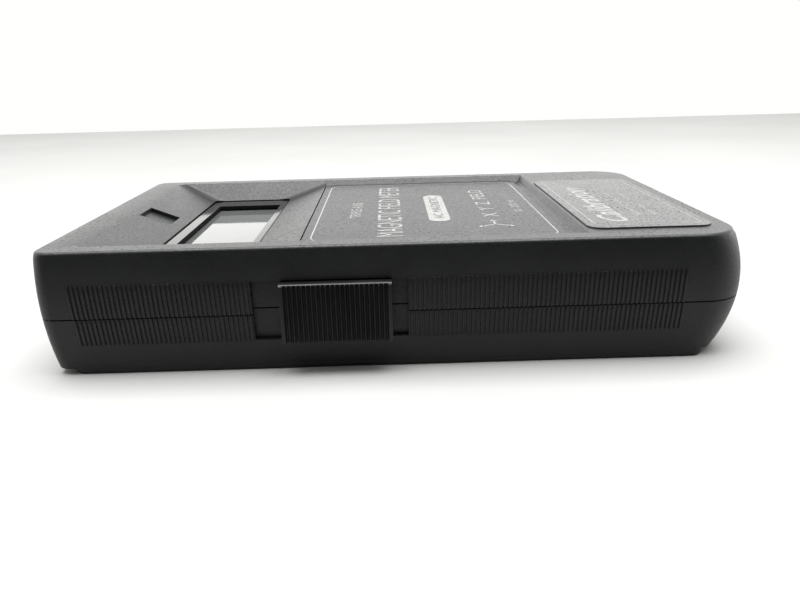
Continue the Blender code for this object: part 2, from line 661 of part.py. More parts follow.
def smooth_route(route, steps):
    """Points of a Catmull-Rom curve through a route."""
    ends = [route[0]] + list(route) + [route[-1]]
    knots = [Vector(place) for place in ends]
    points = []
    for a, b, c, d in zip(knots, knots[1:], knots[2:], knots[3:]):
        for step in range(steps):
            t = step / steps
            points.append(0.5 * (2 * b + (c - a) * t + (2 * a - 5 * b + 4 * c - d) * t * t
                                 + (3 * b - a - 3 * c + d) * t ** 3))
    points.append(knots[-1])
    return points


RED_LEAD = [(49.0, 24.6, 18.6), (48.6, 24.8, 20.4), (45.0, 25.4, 22.0), (40.0, 26.0, 22.2),
            (35.0, 25.6, 21.4), (32.0, 24.6, 19.8), (31.4, 24.2, 18.0)]
BLACK_LEAD = [(58.0, 24.6, 18.6), (57.4, 24.9, 20.6), (52.0, 26.6, 22.6), (44.0, 28.4, 23.2),
              (36.0, 28.6, 22.0), (31.4, 28.2, 20.0), (30.6, 28.0, 18.0)]


# ---------------------------------------------------------------- fasteners and labels

def screw(name, x, y, head_bottom, head_radius, head_height, shank_radius, length, steel):
    """Cross-recess screw pointing up, turned in one piece."""
    profile = [(0.0, 0.0), (head_radius - 0.3, 0.0), (head_radius, 0.4), (head_radius, head_height),
               (shank_radius, head_height), (shank_radius, head_height + length - 1.2),
               (0.0, head_height + length)]
    mesh = bmesh.new()
    verts = [mesh.verts.new((r, 0, z)) for r, z in profile]
    edges = [mesh.edges.new(pair) for pair in zip(verts, verts[1:])]
    bmesh.ops.spin(mesh, geom=verts + edges, axis=(0, 0, 1), cent=(0, 0, 0), angle=2 * math.pi,
                   steps=14, use_merge=True)
    bmesh.ops.remove_doubles(mesh, verts=mesh.verts, dist=0.001)
    bmesh.ops.translate(mesh, vec=Vector((x, y, head_bottom)), verts=mesh.verts)
    body = finish_mesh(name, mesh, steel, smooth=True)
    for i, (half_x, half_y) in enumerate(((1.5, 0.35), (0.35, 1.5)), 1):
        cut(body, box(f"{name}_recess_{i}", (x - half_x, y - half_y, head_bottom - 1),
                      (x + half_x, y + half_y, head_bottom + 1.1)))
    return body


def build_screws(steel):
    """Case screws from below, and board screws under the board."""
    for i, (x, y) in enumerate(CASE_SCREWS, 1):
        screw(f"case_screw_{i}", x, y, 4.5, 2.75, 2.2, 1.45, 13.0, steel)
    for i, (x, y) in enumerate(BOARD_SCREWS, 1):
        screw(f"board_screw_{i}", x, y, BOARD_BOTTOM - CLEARANCE - 1.8, 2.3, 1.8, 1.05, 7.0, steel)


def build_labels(film, sticker, foil):
    """Printed face label, sticker at the battery end, rating label underneath."""
    top = CASE_HEIGHT - LABEL_TOP_DEPTH
    half = RIM_HALF_WIDTH - 1.0
    slab("face_label", rounded_outline(FACE_SPLIT + CLEARANCE, FACE_RIGHT - CLEARANCE, -half, half, 1.5, 1.5, 3),
         top - LABEL_THICKNESS, top, film)
    slab("service_sticker", rounded_outline(42.0, 69.3, -38.5, 26.5, 3.5, 3.5, 4),
         CASE_HEIGHT + 0.1, CASE_HEIGHT + 0.35, sticker)
    slab("rating_label", rounded_outline(*RATING_LABEL, -21.5, 21.5, 1.5, 1.5, 3), 0.25, 0.55, foil)


def build_foam(foam):
    """Soft pad that presses on the battery."""
    box("battery_pad", (46.0, -16.0, BATTERY_BOTTOM + BATTERY_HEIGHT + CLEARANCE),
        (62.0, 8.0, BATTERY_ROOF - CLEARANCE), foam, bevel=0.8)


def main():
    """Build the meter, piece by piece."""
    clear_scene()
    case_plastic = material("black_abs", (0.025, 0.026, 0.027), 0.55)
    build_front_shell(case_plastic)
    build_rear_shell(material("black_abs_rear", (0.025, 0.026, 0.027), 0.55))
    build_battery_door(material("black_abs_door", (0.025, 0.026, 0.027), 0.55))
    build_power_knob(material("black_abs_knob", (0.02, 0.02, 0.021), 0.5))
    build_display(material("gloss_black", (0.01, 0.01, 0.011), 0.15),
                  material("display_glass", (0.45, 0.48, 0.44), 0.1),
                  material("reflector_film", (0.7, 0.7, 0.68), 0.3, 0.6),
                  material("holder_plastic", (0.05, 0.05, 0.05), 0.6),
                  material("contact_rubber", (0.75, 0.45, 0.4), 0.7))
    build_board(material("green_laminate", (0.03, 0.22, 0.09), 0.4))
    build_chips(material("chip_epoxy", (0.02, 0.02, 0.02), 0.5))
    build_capacitors(material("capacitor_sleeve", (0.03, 0.05, 0.2), 0.4),
                     material("film_capacitor", (0.5, 0.1, 0.05), 0.4))
    build_trimmers(material("trimmer_blue", (0.03, 0.12, 0.5), 0.4),
                   material("trimmer_brass", (0.7, 0.55, 0.2), 0.35, 1.0))
    build_coils(material("coil_nylon", (0.8, 0.78, 0.7), 0.5),
                material("copper_wire", (0.7, 0.3, 0.12), 0.3, 1.0))
    build_slide_switch(material("switch_steel", (0.6, 0.6, 0.6), 0.35, 1.0),
                       material("switch_lever", (0.04, 0.04, 0.04), 0.5))
    build_battery(material("battery_can", (0.12, 0.12, 0.13), 0.35, 0.5),
                  material("terminal_steel", (0.7, 0.7, 0.7), 0.3, 1.0),
                  material("snap_vinyl", (0.03, 0.03, 0.03), 0.5))
    lead("battery_lead_red", RED_LEAD, 0.65, material("red_vinyl", (0.6, 0.03, 0.03), 0.45))
    lead("battery_lead_black", BLACK_LEAD, 0.65, material("black_vinyl", (0.02, 0.02, 0.02), 0.45))
    build_screws(material("zinc_steel", (0.6, 0.6, 0.62), 0.3, 1.0))
    build_labels(material("face_film", (0.04, 0.04, 0.04), 0.4),
                 material("sticker_film", (0.05, 0.05, 0.05), 0.4),
                 material("rating_foil", (0.6, 0.6, 0.6), 0.35, 0.6))
    build_foam(material("grey_foam", (0.12, 0.12, 0.12), 0.95))


main()
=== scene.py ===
"""Looks of a hand-held three-axis magnetic field meter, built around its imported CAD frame.

The case lies face up on a pale table. X runs along it from the display end (-X) to the
rounded battery end (+X), and the power slide is on the -Y side. Sizes are in millimetres
and a finished piece is turned to metres, with its place in its mesh.
"""
import logging
import math
from collections.abc import Iterable, Sequence
from dataclasses import dataclass, field, replace
from enum import Enum

import bmesh
import bpy
from mathutils import Matrix, Vector


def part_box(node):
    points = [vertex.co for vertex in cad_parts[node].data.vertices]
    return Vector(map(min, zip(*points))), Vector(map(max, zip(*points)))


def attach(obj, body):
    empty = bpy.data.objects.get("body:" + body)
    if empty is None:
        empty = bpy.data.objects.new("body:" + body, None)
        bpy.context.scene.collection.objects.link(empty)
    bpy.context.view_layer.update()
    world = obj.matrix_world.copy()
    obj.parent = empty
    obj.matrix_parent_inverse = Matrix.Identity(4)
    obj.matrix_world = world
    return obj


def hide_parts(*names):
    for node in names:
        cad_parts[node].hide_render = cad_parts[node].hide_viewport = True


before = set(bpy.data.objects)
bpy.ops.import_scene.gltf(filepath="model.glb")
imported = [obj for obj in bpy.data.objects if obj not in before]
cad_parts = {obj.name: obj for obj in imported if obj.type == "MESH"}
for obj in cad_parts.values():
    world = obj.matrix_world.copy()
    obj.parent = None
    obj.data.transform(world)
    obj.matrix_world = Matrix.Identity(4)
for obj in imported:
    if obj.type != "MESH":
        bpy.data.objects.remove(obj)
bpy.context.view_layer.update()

MM = 0.001
NEAR = 1e-4
NOISE_SPREAD = {"From Min": 0.35, "From Max": 0.65}
LOG = logging.getLogger("meter")
Point = tuple[float, float, float]
Places = tuple[tuple[float, float], ...]
Mesh = bmesh.types.BMesh
Socket = bpy.types.NodeSocket


class Body(Enum):
    """The CAD bodies that new pieces ride on."""

    CASE = "case"
    SLIDE = "power_slide"
    COVER = "battery_cover"


class Operation(Enum):
    """What a tool solid does to the piece that it meets."""

    CUT = "DIFFERENCE"
    JOIN = "UNION"
    KEEP = "INTERSECT"


class Axis(Enum):
    """Direction of a rod, with the turn that takes it there from Z."""

    X = (math.pi / 2, "Y")
    Y = (-math.pi / 2, "X")
    Z = (0.0, "Z")


# ---------------------------------------------------------------- shader nodes and finishes

def linear(hex_colour: str) -> tuple[float, float, float, float]:
    """Turn an sRGB hex colour to the linear RGBA that a shader takes.

    Args:
        hex_colour: Six hex digits after a hash sign.

    Returns:
        Linear red, green and blue, with alpha 1.
    """
    parts = [int(hex_colour[i:i + 2], 16) / 255 for i in (1, 3, 5)]
    red, green, blue = (p / 12.92 if p <= 0.04045 else ((p + 0.055) / 1.055) ** 2.4 for p in parts)
    return red, green, blue, 1.0


def per_metre(size: float) -> float:
    """Texture scale whose features are this many millimetres apart."""
    return 1.0 / (size * MM)


def add_node(tree: bpy.types.NodeTree, kind: str, settings: dict | None = None,
             links: dict | None = None, **attributes: str | bool) -> bpy.types.Node:
    """Add one shader node.

    Args:
        tree: Node tree that takes the node.
        kind: Node type, without its ShaderNode prefix.
        settings: Values for its inputs, by name or number.
        links: Output sockets that feed its inputs, by name or number.
        **attributes: Options of the node itself.

    Returns:
        The new node.
    """
    node = tree.nodes.new(f"ShaderNode{kind}")
    for name, value in attributes.items():
        setattr(node, name, value)
    for socket, value in (settings or {}).items():
        node.inputs[socket].default_value = value
    for socket, source in (links or {}).items():
        tree.links.new(source, node.inputs[socket])
    return node


@dataclass(frozen=True)
class Surface:
    """What a finish is drawn with.

    Attributes:
        tree: Node tree of the material.
        place: Object coordinates.
        colour: Colour so far.
        height: Height of the relief so far.
        gloss: Roughness so far.
    """

    tree: bpy.types.NodeTree
    place: Socket
    colour: Socket
    height: Socket
    gloss: Socket


@dataclass(frozen=True)
class Finish:
    """A finish with a grain, a slow change of shade and a slow change of gloss.

    Attributes:
        name: What the surface is made of and how.
        colour: Main colour, sRGB hex.
        shade: Second colour that it drifts to, sRGB hex.
        roughness: Lowest and highest roughness.
        grain: Size of the surface grain in millimetres.
        relief: Height of the grain in millimetres.
        mottle: Size of the patches of shade in millimetres.
        metallic: Metallic value.
        coat: Weight of a clear gloss coat.
        ior: Index of refraction of a finish that isn't metal.
    """

    name: str
    colour: str
    shade: str
    roughness: tuple[float, float]
    grain: float = 0.5
    relief: float = 0.02
    mottle: float = 7.0
    metallic: float = 0.0
    coat: float = 0.0
    ior: float = 1.5

    def pattern(self, surface: Surface) -> Surface:
        """The surface as it is; finishes with a pattern change it."""
        return surface

    def material(self) -> bpy.types.Material:
        """Build the material.

        Returns:
            A node material named for the finish.
        """
        made = bpy.data.materials.new(self.name)
        made.use_nodes = True
        tree = made.node_tree
        shader = tree.nodes["Principled BSDF"]
        shader.inputs["Metallic"].default_value = self.metallic
        if not self.metallic:
            shader.inputs["IOR"].default_value = self.ior
        shader.inputs["Coat Weight"].default_value = self.coat
        shader.inputs["Coat Roughness"].default_value = 0.05
        place = add_node(tree, "TexCoord").outputs["Object"]
        grain = add_node(tree, "TexNoise", {"Scale": per_metre(self.grain), "Detail": 2.0},
                         {"Vector": place})
        cloud = add_node(tree, "TexNoise", {"Scale": per_metre(self.mottle), "Detail": 5.0},
                         {"Vector": place})
        drift = add_node(tree, "MapRange", NOISE_SPREAD, {"Value": cloud.outputs["Fac"]})
        blend = add_node(tree, "Mix", {6: linear(self.colour), 7: linear(self.shade)},
                         {0: drift.outputs["Result"]}, data_type="RGBA")
        low, high = self.roughness
        gloss = add_node(tree, "MapRange", {**NOISE_SPREAD, "To Min": low, "To Max": high},
                         {"Value": cloud.outputs["Fac"]})
        surface = self.pattern(Surface(tree, place, blend.outputs[2], grain.outputs["Fac"],
                                       gloss.outputs["Result"]))
        bump = add_node(tree, "Bump", {"Strength": 1.0, "Distance": self.relief * MM},
                        {"Height": surface.height})
        tree.links.new(surface.colour, shader.inputs["Base Color"])
        tree.links.new(surface.gloss, shader.inputs["Roughness"])
        tree.links.new(bump.outputs["Normal"], shader.inputs["Normal"])
        made.diffuse_color = linear(self.colour)
        return made


@dataclass(frozen=True)
class DustyPlastic(Finish):
    """Moulded plastic with specks of dust and lint on the faces that look up.

    Attributes:
        dust: Colour of the specks, sRGB hex.
        spacing: Mean distance between specks in millimetres.
        speck: Radius of a speck in millimetres.
        sparkle: How much the grain varies the roughness.
        patch: Size of the dusty patches in millimetres.
    """

    dust: str = "#3A3834"
    spacing: float = 1.9
    speck: float = 0.3
    sparkle: float = 0.07
    patch: float = 16.0

    def pattern(self, surface: Surface) -> Surface:
        """Sprinkle specks where the surface faces up.

        Args:
            surface: The clean surface.

        Returns:
            The surface with raised, dull specks and an uneven sheen.
        """
        tree, place, height = surface.tree, surface.place, surface.height
        cells = add_node(tree, "TexVoronoi", {"Scale": per_metre(self.spacing)}, {"Vector": place},
                         voronoi_dimensions="2D")
        reach = self.speck / self.spacing
        near = add_node(tree, "MapRange", {"From Min": reach, "From Max": reach * 0.6},
                        {"Value": cells.outputs["Distance"]})
        patches = add_node(tree, "TexNoise", {"Scale": per_metre(self.patch), "Detail": 3.0},
                           {"Vector": place})
        where = add_node(tree, "MapRange", {"From Min": 0.46, "From Max": 0.62},
                         {"Value": patches.outputs["Fac"]})
        up = add_node(tree, "SeparateXYZ", links={0: add_node(tree, "NewGeometry").outputs["Normal"]})
        lying = add_node(tree, "MapRange", {"From Min": 0.6, "From Max": 0.95}, {"Value": up.outputs["Z"]})
        both = add_node(tree, "Math", links={0: near.outputs["Result"], 1: where.outputs["Result"]},
                        operation="MULTIPLY")
        mask = add_node(tree, "Math", links={0: both.outputs[0], 1: lying.outputs["Result"]},
                        operation="MULTIPLY")
        mixed = add_node(tree, "Mix", {7: linear(self.dust)}, {0: mask.outputs[0], 6: surface.colour},
                         data_type="RGBA")
        # The grain's pits scatter the sheen unevenly, and a speck stands a few grains high.
        uneven = add_node(tree, "MapRange", {"From Min": 0.3, "From Max": 0.7, "To Min": -self.sparkle,
                                             "To Max": self.sparkle}, {"Value": height})
        sheen = add_node(tree, "Math", links={0: surface.gloss, 1: uneven.outputs["Result"]}, operation="ADD")
        dull = add_node(tree, "Mix", {3: 1.0}, {0: mask.outputs[0], 2: sheen.outputs[0]})
        raised = add_node(tree, "Math", {1: 3.0}, {0: mask.outputs[0], 2: height}, operation="MULTIPLY_ADD")
        return replace(surface, colour=mixed.outputs[2], height=raised.outputs[0], gloss=dull.outputs[0])


@dataclass(frozen=True)
class SawnAcrylic(Finish):
    """Polished sheet whose sawn edges are left matt."""

    def pattern(self, surface: Surface) -> Surface:
        """Keep the gloss on level faces only.

        Args:
            surface: The polished surface.

        Returns:
            The surface, rough where it stands upright.
        """
        tree = surface.tree
        facing = add_node(tree, "SeparateXYZ", links={0: add_node(tree, "NewGeometry").outputs["Normal"]})
        level = add_node(tree, "MapRange", {"From Min": 0.3, "From Max": 0.9}, {"Value": facing.outputs["Z"]})
        matt = add_node(tree, "Mix", {2: 0.75}, {0: level.outputs["Result"], 3: surface.gloss})
        return replace(surface, gloss=matt.outputs[0])


@dataclass(frozen=True)
class WoundWire(Finish):
    """Enamelled wire in neat turns.

    Attributes:
        turn: Distance between turns in millimetres.
        along: Axis that the turns step along.
        valley: Painted shade colour between the turns, sRGB hex.
    """

    turn: float = 0.4
    along: Axis = Axis.X
    valley: str = "#2A1208"

    def pattern(self, surface: Surface) -> Surface:
        """Draw the turns as rounded ridges, with painted shade in the valleys between them.

        Args:
            surface: Bare wire.

        Returns:
            The surface with its turns and the painted shade between them.
        """
        tree = surface.tree
        # A wave's bands are a twentieth of a unit wide at scale 1 and repeat every 2 pi radians.
        turns = add_node(tree, "TexWave", {"Scale": per_metre(self.turn) * math.pi / 10, "Distortion": 0.15},
                         {"Vector": surface.place}, bands_direction=self.along.name, wave_profile="SIN")
        # Painted shade: the colour darkens towards the valley colour where the turns meet.
        dark = add_node(tree, "MapRange", {"From Max": 0.5, "To Min": 0.75, "To Max": 0.0},
                        {"Value": turns.outputs["Fac"]})
        mixed = add_node(tree, "Mix", {7: linear(self.valley)}, {0: dark.outputs["Result"], 6: surface.colour},
                         data_type="RGBA")
        return replace(surface, colour=mixed.outputs[2], height=turns.outputs["Fac"])


@dataclass(frozen=True)
class Brushed(Finish):
    """Rolled or brushed sheet metal.

    Attributes:
        along: Axis that the brush marks run along.
    """

    along: Axis = Axis.X

    def pattern(self, surface: Surface) -> Surface:
        """Stretch the grain along one axis.

        Args:
            surface: Plain metal.

        Returns:
            The surface with faint streaks.
        """
        tree = surface.tree
        stretch = [0.06 if axis is self.along else 1.0 for axis in Axis]
        marks = add_node(tree, "Mapping", {"Scale": stretch}, {"Vector": surface.place})
        streaks = add_node(tree, "TexNoise", {"Scale": per_metre(self.grain), "Detail": 3.0},
                           {"Vector": marks.outputs["Vector"]})
        mixed = add_node(tree, "Mix", {7: linear(self.shade)}, {0: streaks.outputs["Fac"], 6: surface.colour},
                         data_type="RGBA")
        return replace(surface, colour=mixed.outputs[2], height=streaks.outputs["Fac"])


@dataclass(frozen=True)
class SolderMask(Finish):
    """Green solder mask over copper tracks, with tinned pads on the drilling grid.

    Attributes:
        pitch: Drilling grid in millimetres.
        run: Length of a track in millimetres.
        island: Size of the areas with tracks in millimetres.
    """

    pitch: float = 2.54
    run: float = 12.7
    island: float = 11.0

    def pattern(self, surface: Surface) -> Surface:
        """Draw tracks with round pads at the grid's points.

        Args:
            surface: The bare mask.

        Returns:
            The surface with raised tracks and pads.
        """
        tree, place = surface.tree, surface.place
        # The mortar between the bricks is the tracks, about 0.5 mm wide.
        runs = add_node(tree, "TexBrick", {"Scale": 1.0 / MM, "Mortar Size": 0.28, "Mortar Smooth": 0.1,
                                           "Brick Width": self.run, "Row Height": self.pitch},
                        {"Vector": place}, offset=0.4)
        islands = add_node(tree, "TexNoise", {"Scale": per_metre(self.island), "Detail": 0.0},
                           {"Vector": place})
        some = add_node(tree, "MapRange", {"From Min": 0.47, "From Max": 0.49},
                        {"Value": islands.outputs["Fac"]})
        track = add_node(tree, "Math", links={0: runs.outputs["Fac"], 1: some.outputs["Result"]},
                         operation="MULTIPLY")
        under = add_node(tree, "Mix", {7: linear("#3F8A4A")}, {0: track.outputs[0], 6: surface.colour},
                         data_type="RGBA")
        dots = add_node(tree, "TexVoronoi", {"Scale": per_metre(self.pitch), "Randomness": 0.0},
                        {"Vector": place}, voronoi_dimensions="2D")
        pad = add_node(tree, "MapRange", {"From Min": 0.27, "From Max": 0.25},
                       {"Value": dots.outputs["Distance"]})
        shown = add_node(tree, "Math", links={0: pad.outputs["Result"], 1: some.outputs["Result"]},
                         operation="MULTIPLY")
        tinned = add_node(tree, "Mix", {7: linear("#B9BDBE")}, {0: shown.outputs[0], 6: under.outputs[2]},
                          data_type="RGBA")
        raised = add_node(tree, "Math", links={0: track.outputs[0], 1: shown.outputs[0]}, operation="MAXIMUM")
        return replace(surface, colour=tinned.outputs[2], height=raised.outputs[0])


@dataclass(frozen=True)
class OpenFoam(Finish):
    """Open-cell foam, cut from a block: pits where cells are sliced open."""

    def pattern(self, surface: Surface) -> Surface:
        """Draw the open cells, with painted shade in their pits.

        Args:
            surface: Plain foam.

        Returns:
            The surface with painted shade in its pits.
        """
        tree = surface.tree
        cells = add_node(tree, "TexVoronoi", {"Scale": per_metre(self.grain)}, {"Vector": surface.place})
        # Painted shade: the colour goes near black at the middle of each cell, where the pits are.
        pits = add_node(tree, "MapRange", {"From Max": 0.55, "To Min": 0.8, "To Max": 0.0},
                        {"Value": cells.outputs["Distance"]})
        mixed = add_node(tree, "Mix", {7: linear("#0B0B0C")}, {0: pits.outputs["Result"], 6: surface.colour},
                         data_type="RGBA")
        return replace(surface, colour=mixed.outputs[2], height=cells.outputs["Distance"])


class Palette:
    """Every finish of the meter, each made once."""

    def __init__(self) -> None:
        """Build the materials."""
        # ABS from a spark-eroded mould: a fine matt grain that turns grey at a low angle, with dust on top.
        self.case = DustyPlastic("moulded_black_abs", "#101112", "#141516", (0.42, 0.45), 0.55, 0.05,
                                 ior=1.36).material()
        # The same ABS from a polished tool: slightly deeper black and a soft gloss.
        self.slide = Finish("smooth_black_abs", "#0D0E0E", "#121313", (0.4, 0.44), 0.4, 0.012,
                            ior=1.4).material()
        # Polished acrylic ring: a mirror-like black with faint waves.
        self.bezel = SawnAcrylic("polished_black_acrylic", "#0A0A0B", "#0E0E10", (0.08, 0.1), 2.5,
                                 0.001, ior=1.17).material()
        # Twisted nematic cell, off: a pale grey-green mirror behind polished glass.
        self.display = SawnAcrylic("display_cell_glass", "#3F4140", "#434544", (0.04, 0.05), 3.0, 0.0004,
                                   ior=1.25).material()
        # Velvet-printed polyester film: dark and even, with a sheen at a low angle.
        self.face_film = DustyPlastic("velvet_printed_polyester", "#141516", "#17181A", (0.46, 0.48), 0.5,
                                      0.03, dust="#2C2B29", spacing=3.0, speck=0.28, ior=1.36).material()
        # Vinyl sticker film: smoother than the film on the face.
        self.sticker = DustyPlastic("black_vinyl_sticker", "#1A1A1B", "#1F1F21", (0.38, 0.41), 0.6, 0.025,
                                    dust="#2A2927", spacing=1.5, speck=0.28, ior=1.42).material()
        # Screen-printed ink: a thin matt white, a little worn.
        self.white_ink = Finish("screen_printed_white_ink", "#6F706E", "#646563", (0.55, 0.65), 0.4, 0.006,
                                mottle=1.5).material()
        # The same ink in black, on the white patch: flat and even.
        self.black_ink = Finish("screen_printed_black_ink", "#18191A", "#222324", (0.5, 0.6), 0.4,
                                0.006).material()
        # Anodised aluminium foil label: pale satin, brushed along the case.
        self.foil = Brushed("anodised_aluminium_foil", "#A9ACAE", "#8F9294", (0.32, 0.4), 0.3, 0.004,
                            metallic=1.0).material()
        # Silvered polyester behind the cell: a soft pale mirror.
        self.reflector = Finish("silvered_polyester", "#C9CBC8", "#B5B8B5", (0.25, 0.35), 1.2, 0.004,
                                metallic=1.0).material()
        # Carbon-filled silicone strips: soft and dull, in pink and dark layers.
        self.contact = Brushed("conductive_silicone", "#C98E84", "#3A3233", (0.55, 0.65), 0.5, 0.01,
                               along=Axis.Z).material()
        # Moulded polycarbonate: an even dark grey with a light satin.
        self.holder = Finish("moulded_black_polycarbonate", "#1A1B1C", "#212223", (0.45, 0.55), 0.5,
                             0.02).material()
        # Glass-epoxy laminate under solder mask: glossy green over slightly raised tracks.
        self.board = SolderMask("solder_masked_laminate", "#15552B", "#1A6032", (0.28, 0.36), 0.6,
                                0.035).material()
        # Transfer-moulded epoxy: a dull black with tiny glints of filler.
        self.chip = Finish("moulded_black_epoxy", "#161617", "#202022", (0.5, 0.62), 0.18, 0.01,
                           3.0).material()
        # Tinned copper alloy legs: a pale, slightly dull metal.
        self.tin = Brushed("tinned_copper_alloy", "#C2C4C3", "#A4A6A6", (0.25, 0.38), 0.25, 0.004,
                           metallic=1.0, along=Axis.Z).material()
        # Shrunk PVC sleeve: a deep blue with a soft shine.
        self.sleeve = Finish("shrunk_blue_pvc_sleeve", "#172A55", "#1D3262", (0.25, 0.35), 1.5,
                             0.012).material()
        # Dipped epoxy: red, thick and shiny, a little wavy.
        self.dipped = Finish("dipped_red_epoxy", "#8E2417", "#9D2E1E", (0.22, 0.32), 2.0, 0.03).material()
        # Moulded thermoset: a clear, even blue.
        self.trimmer = Finish("moulded_blue_thermoset", "#1B4C9C", "#2156AB", (0.35, 0.45), 0.5,
                              0.012).material()
        # Turned brass: warm and bright, with fine tool marks.
        self.brass = Brushed("turned_brass", "#C6A04E", "#A8843A", (0.25, 0.36), 0.3, 0.006,
                             metallic=1.0).material()
        # Unfilled nylon: milky off-white with a waxy sheen.
        self.nylon = Finish("moulded_natural_nylon", "#D9D2BE", "#CFC6AE", (0.4, 0.5), 0.7, 0.015).material()
        # Enamelled copper wire: red-brown metal in fine even turns, coarser than real ones so that they show,
        # with painted shade between the turns.
        self.windings = {axis: WoundWire(f"enamelled_copper_wire_{axis.name.lower()}", "#A4502A", "#B86033",
                                         (0.22, 0.3), 0.4, 0.09, metallic=1.0, along=axis).material()
                         for axis in Axis}
        # Tin-plated steel can of the switch: pale grey metal with rolling marks.
        self.switch = Brushed("tinplated_steel", "#B4B6B7", "#9A9C9E", (0.28, 0.4), 0.35, 0.006,
                              metallic=1.0).material()
        # Moulded acetal lever: a plain black with a slight slip shine.
        self.lever = Finish("moulded_black_acetal", "#191919", "#222222", (0.35, 0.45), 0.5, 0.01).material()
        # Lithographed steel jacket of the battery: dark lacquer with a clear shine.
        self.jacket = Finish("lithographed_steel_jacket", "#2A2C30", "#33363A", (0.24, 0.34), 1.0, 0.01,
                             coat=0.5).material()
        # Nickel-plated steel terminals: bright, slightly yellow metal.
        self.terminal = Brushed("nickel_plated_steel", "#B9B6AD", "#9E9B92", (0.2, 0.32), 0.3, 0.004,
                                metallic=1.0, along=Axis.Y).material()
        # Pressed vinyl of the snap connector: a soft leathery black.
        self.snap = Finish("pressed_black_vinyl", "#161616", "#1F1F1F", (0.42, 0.55), 0.7, 0.02).material()
        # Extruded PVC of the leads: clean colour, smooth and slightly glossy.
        self.red_lead = Finish("extruded_red_pvc", "#A3160F", "#B01D14", (0.32, 0.4), 0.6, 0.008).material()
        self.black_lead = Finish("extruded_black_pvc", "#131314", "#1B1B1C", (0.32, 0.4), 0.6,
                                 0.008).material()
        # Polyurethane foam: dull grey, pitted all over, with painted shade in the pits.
        self.foam = OpenFoam("open_cell_polyurethane_foam", "#3A3B3D", "#444548", (0.85, 0.95), 0.6,
                             0.3).material()
        # Zinc-plated screws: a bluish silver.
        self.zinc = Brushed("zinc_plated_steel", "#B8BAC0", "#9EA0A8", (0.26, 0.38), 0.3, 0.006,
                            metallic=1.0).material()


# ---------------------------------------------------------------- solids

def everything(mesh: Mesh) -> list:
    """All vertices, edges and faces of a mesh."""
    return mesh.verts[:] + mesh.edges[:] + mesh.faces[:]


def new_verts(result: dict) -> list[bmesh.types.BMVert]:
    """The vertices that an operator made."""
    return [item for item in result["geom"] if isinstance(item, bmesh.types.BMVert)]


def brick(low: Point, high: Point) -> Mesh:
    """Make a box between two corners.

    Args:
        low: Lowest corner.
        high: Highest corner.

    Returns:
        The box as a new bmesh.
    """
    mesh = bmesh.new()
    bmesh.ops.create_cube(mesh, size=1.0)
    bmesh.ops.scale(mesh, vec=Vector(high) - Vector(low), verts=mesh.verts)
    bmesh.ops.translate(mesh, vec=(Vector(low) + Vector(high)) / 2, verts=mesh.verts)
    return mesh


def soften(mesh: Mesh, edges: Iterable[bmesh.types.BMEdge], radius: float, segments: int = 3) -> Mesh:
    """Round some edges of a mesh.

    Args:
        mesh: The mesh.
        edges: Edges to round.
        radius: Width of the rounding.
        segments: Steps across it.

    Returns:
        The same mesh.
    """
    bmesh.ops.bevel(mesh, geom=list(edges), offset=radius, segments=segments, profile=0.5, affect="EDGES",
                    material=-1, clamp_overlap=True)
    return mesh


def is_upright(edge: bmesh.types.BMEdge) -> bool:
    """Whether an edge runs along Z."""
    span = edge.verts[1].co - edge.verts[0].co
    return abs(span.z) > 0.5 * span.length


def level_edges(mesh: Mesh, z: float) -> list[bmesh.types.BMEdge]:
    """Edges that lie at one height."""
    return [e for e in mesh.edges if all(abs(v.co.z - z) < NEAR for v in e.verts)]


def score(mesh: Mesh, bottom: float, top: float, bands: int) -> None:
    """Cut a mesh at even heights, so that its sides can follow a curve.

    Args:
        mesh: The mesh.
        bottom: Its lower end.
        top: Its upper end.
        bands: Number of bands between them.
    """
    for i in range(1, bands):
        height = bottom + (top - bottom) * i / bands
        bmesh.ops.bisect_plane(mesh, geom=everything(mesh), plane_co=(0, 0, height), plane_no=(0, 0, 1))


def plate(low: Point, high: Point, corner: float, segments: int = 6, edge: float = 0.0) -> Mesh:
    """Make a flat plate with rounded corners in plan.

    Args:
        low: Lowest corner of its box.
        high: Highest corner of its box.
        corner: Radius of the four corners.
        segments: Steps round each corner.
        edge: Rounding of the top edge.

    Returns:
        The plate as a new bmesh.
    """
    mesh = brick(low, high)
    soften(mesh, [e for e in mesh.edges if is_upright(e)], corner, segments)
    if edge:
        soften(mesh, level_edges(mesh, high[2]), edge, 2)
    return mesh


def rod(centre: Point, radius: float, height: float, axis: Axis = Axis.Z, sides: int = 24) -> Mesh:
    """Make a round bar.

    Args:
        centre: Its middle.
        radius: Its radius.
        height: Its length.
        axis: The axis it lies along.
        sides: Number of flats.

    Returns:
        The bar as a new bmesh.
    """
    mesh = bmesh.new()
    bmesh.ops.create_cone(mesh, cap_ends=True, segments=sides, radius1=radius, radius2=radius, depth=height)
    angle, about = axis.value
    bmesh.ops.rotate(mesh, cent=(0, 0, 0), matrix=Matrix.Rotation(angle, 3, about), verts=mesh.verts)
    bmesh.ops.translate(mesh, vec=Vector(centre), verts=mesh.verts)
    return mesh


def arrowhead(centre: Point, radius: float, height: float) -> Mesh:
    """Make a flat triangle that points to +X.

    Args:
        centre: Its middle.
        radius: Distance from its middle to its points.
        height: Its thickness.

    Returns:
        The triangle as a new bmesh.
    """
    mesh = rod(centre, radius, height, sides=3)
    bmesh.ops.rotate(mesh, cent=centre, matrix=Matrix.Rotation(-math.pi / 2, 3, "Z"), verts=mesh.verts)
    return mesh


def link_object(name: str, mesh: Mesh) -> bpy.types.Object:
    """Turn a bmesh to an object in the scene.

    Args:
        name: Name of the object.
        mesh: The bmesh; it is used up.

    Returns:
        The object.
    """
    data = bpy.data.meshes.new(name)
    mesh.to_mesh(data)
    mesh.free()
    made = bpy.data.objects.new(name, data)
    bpy.context.collection.objects.link(made)
    return made


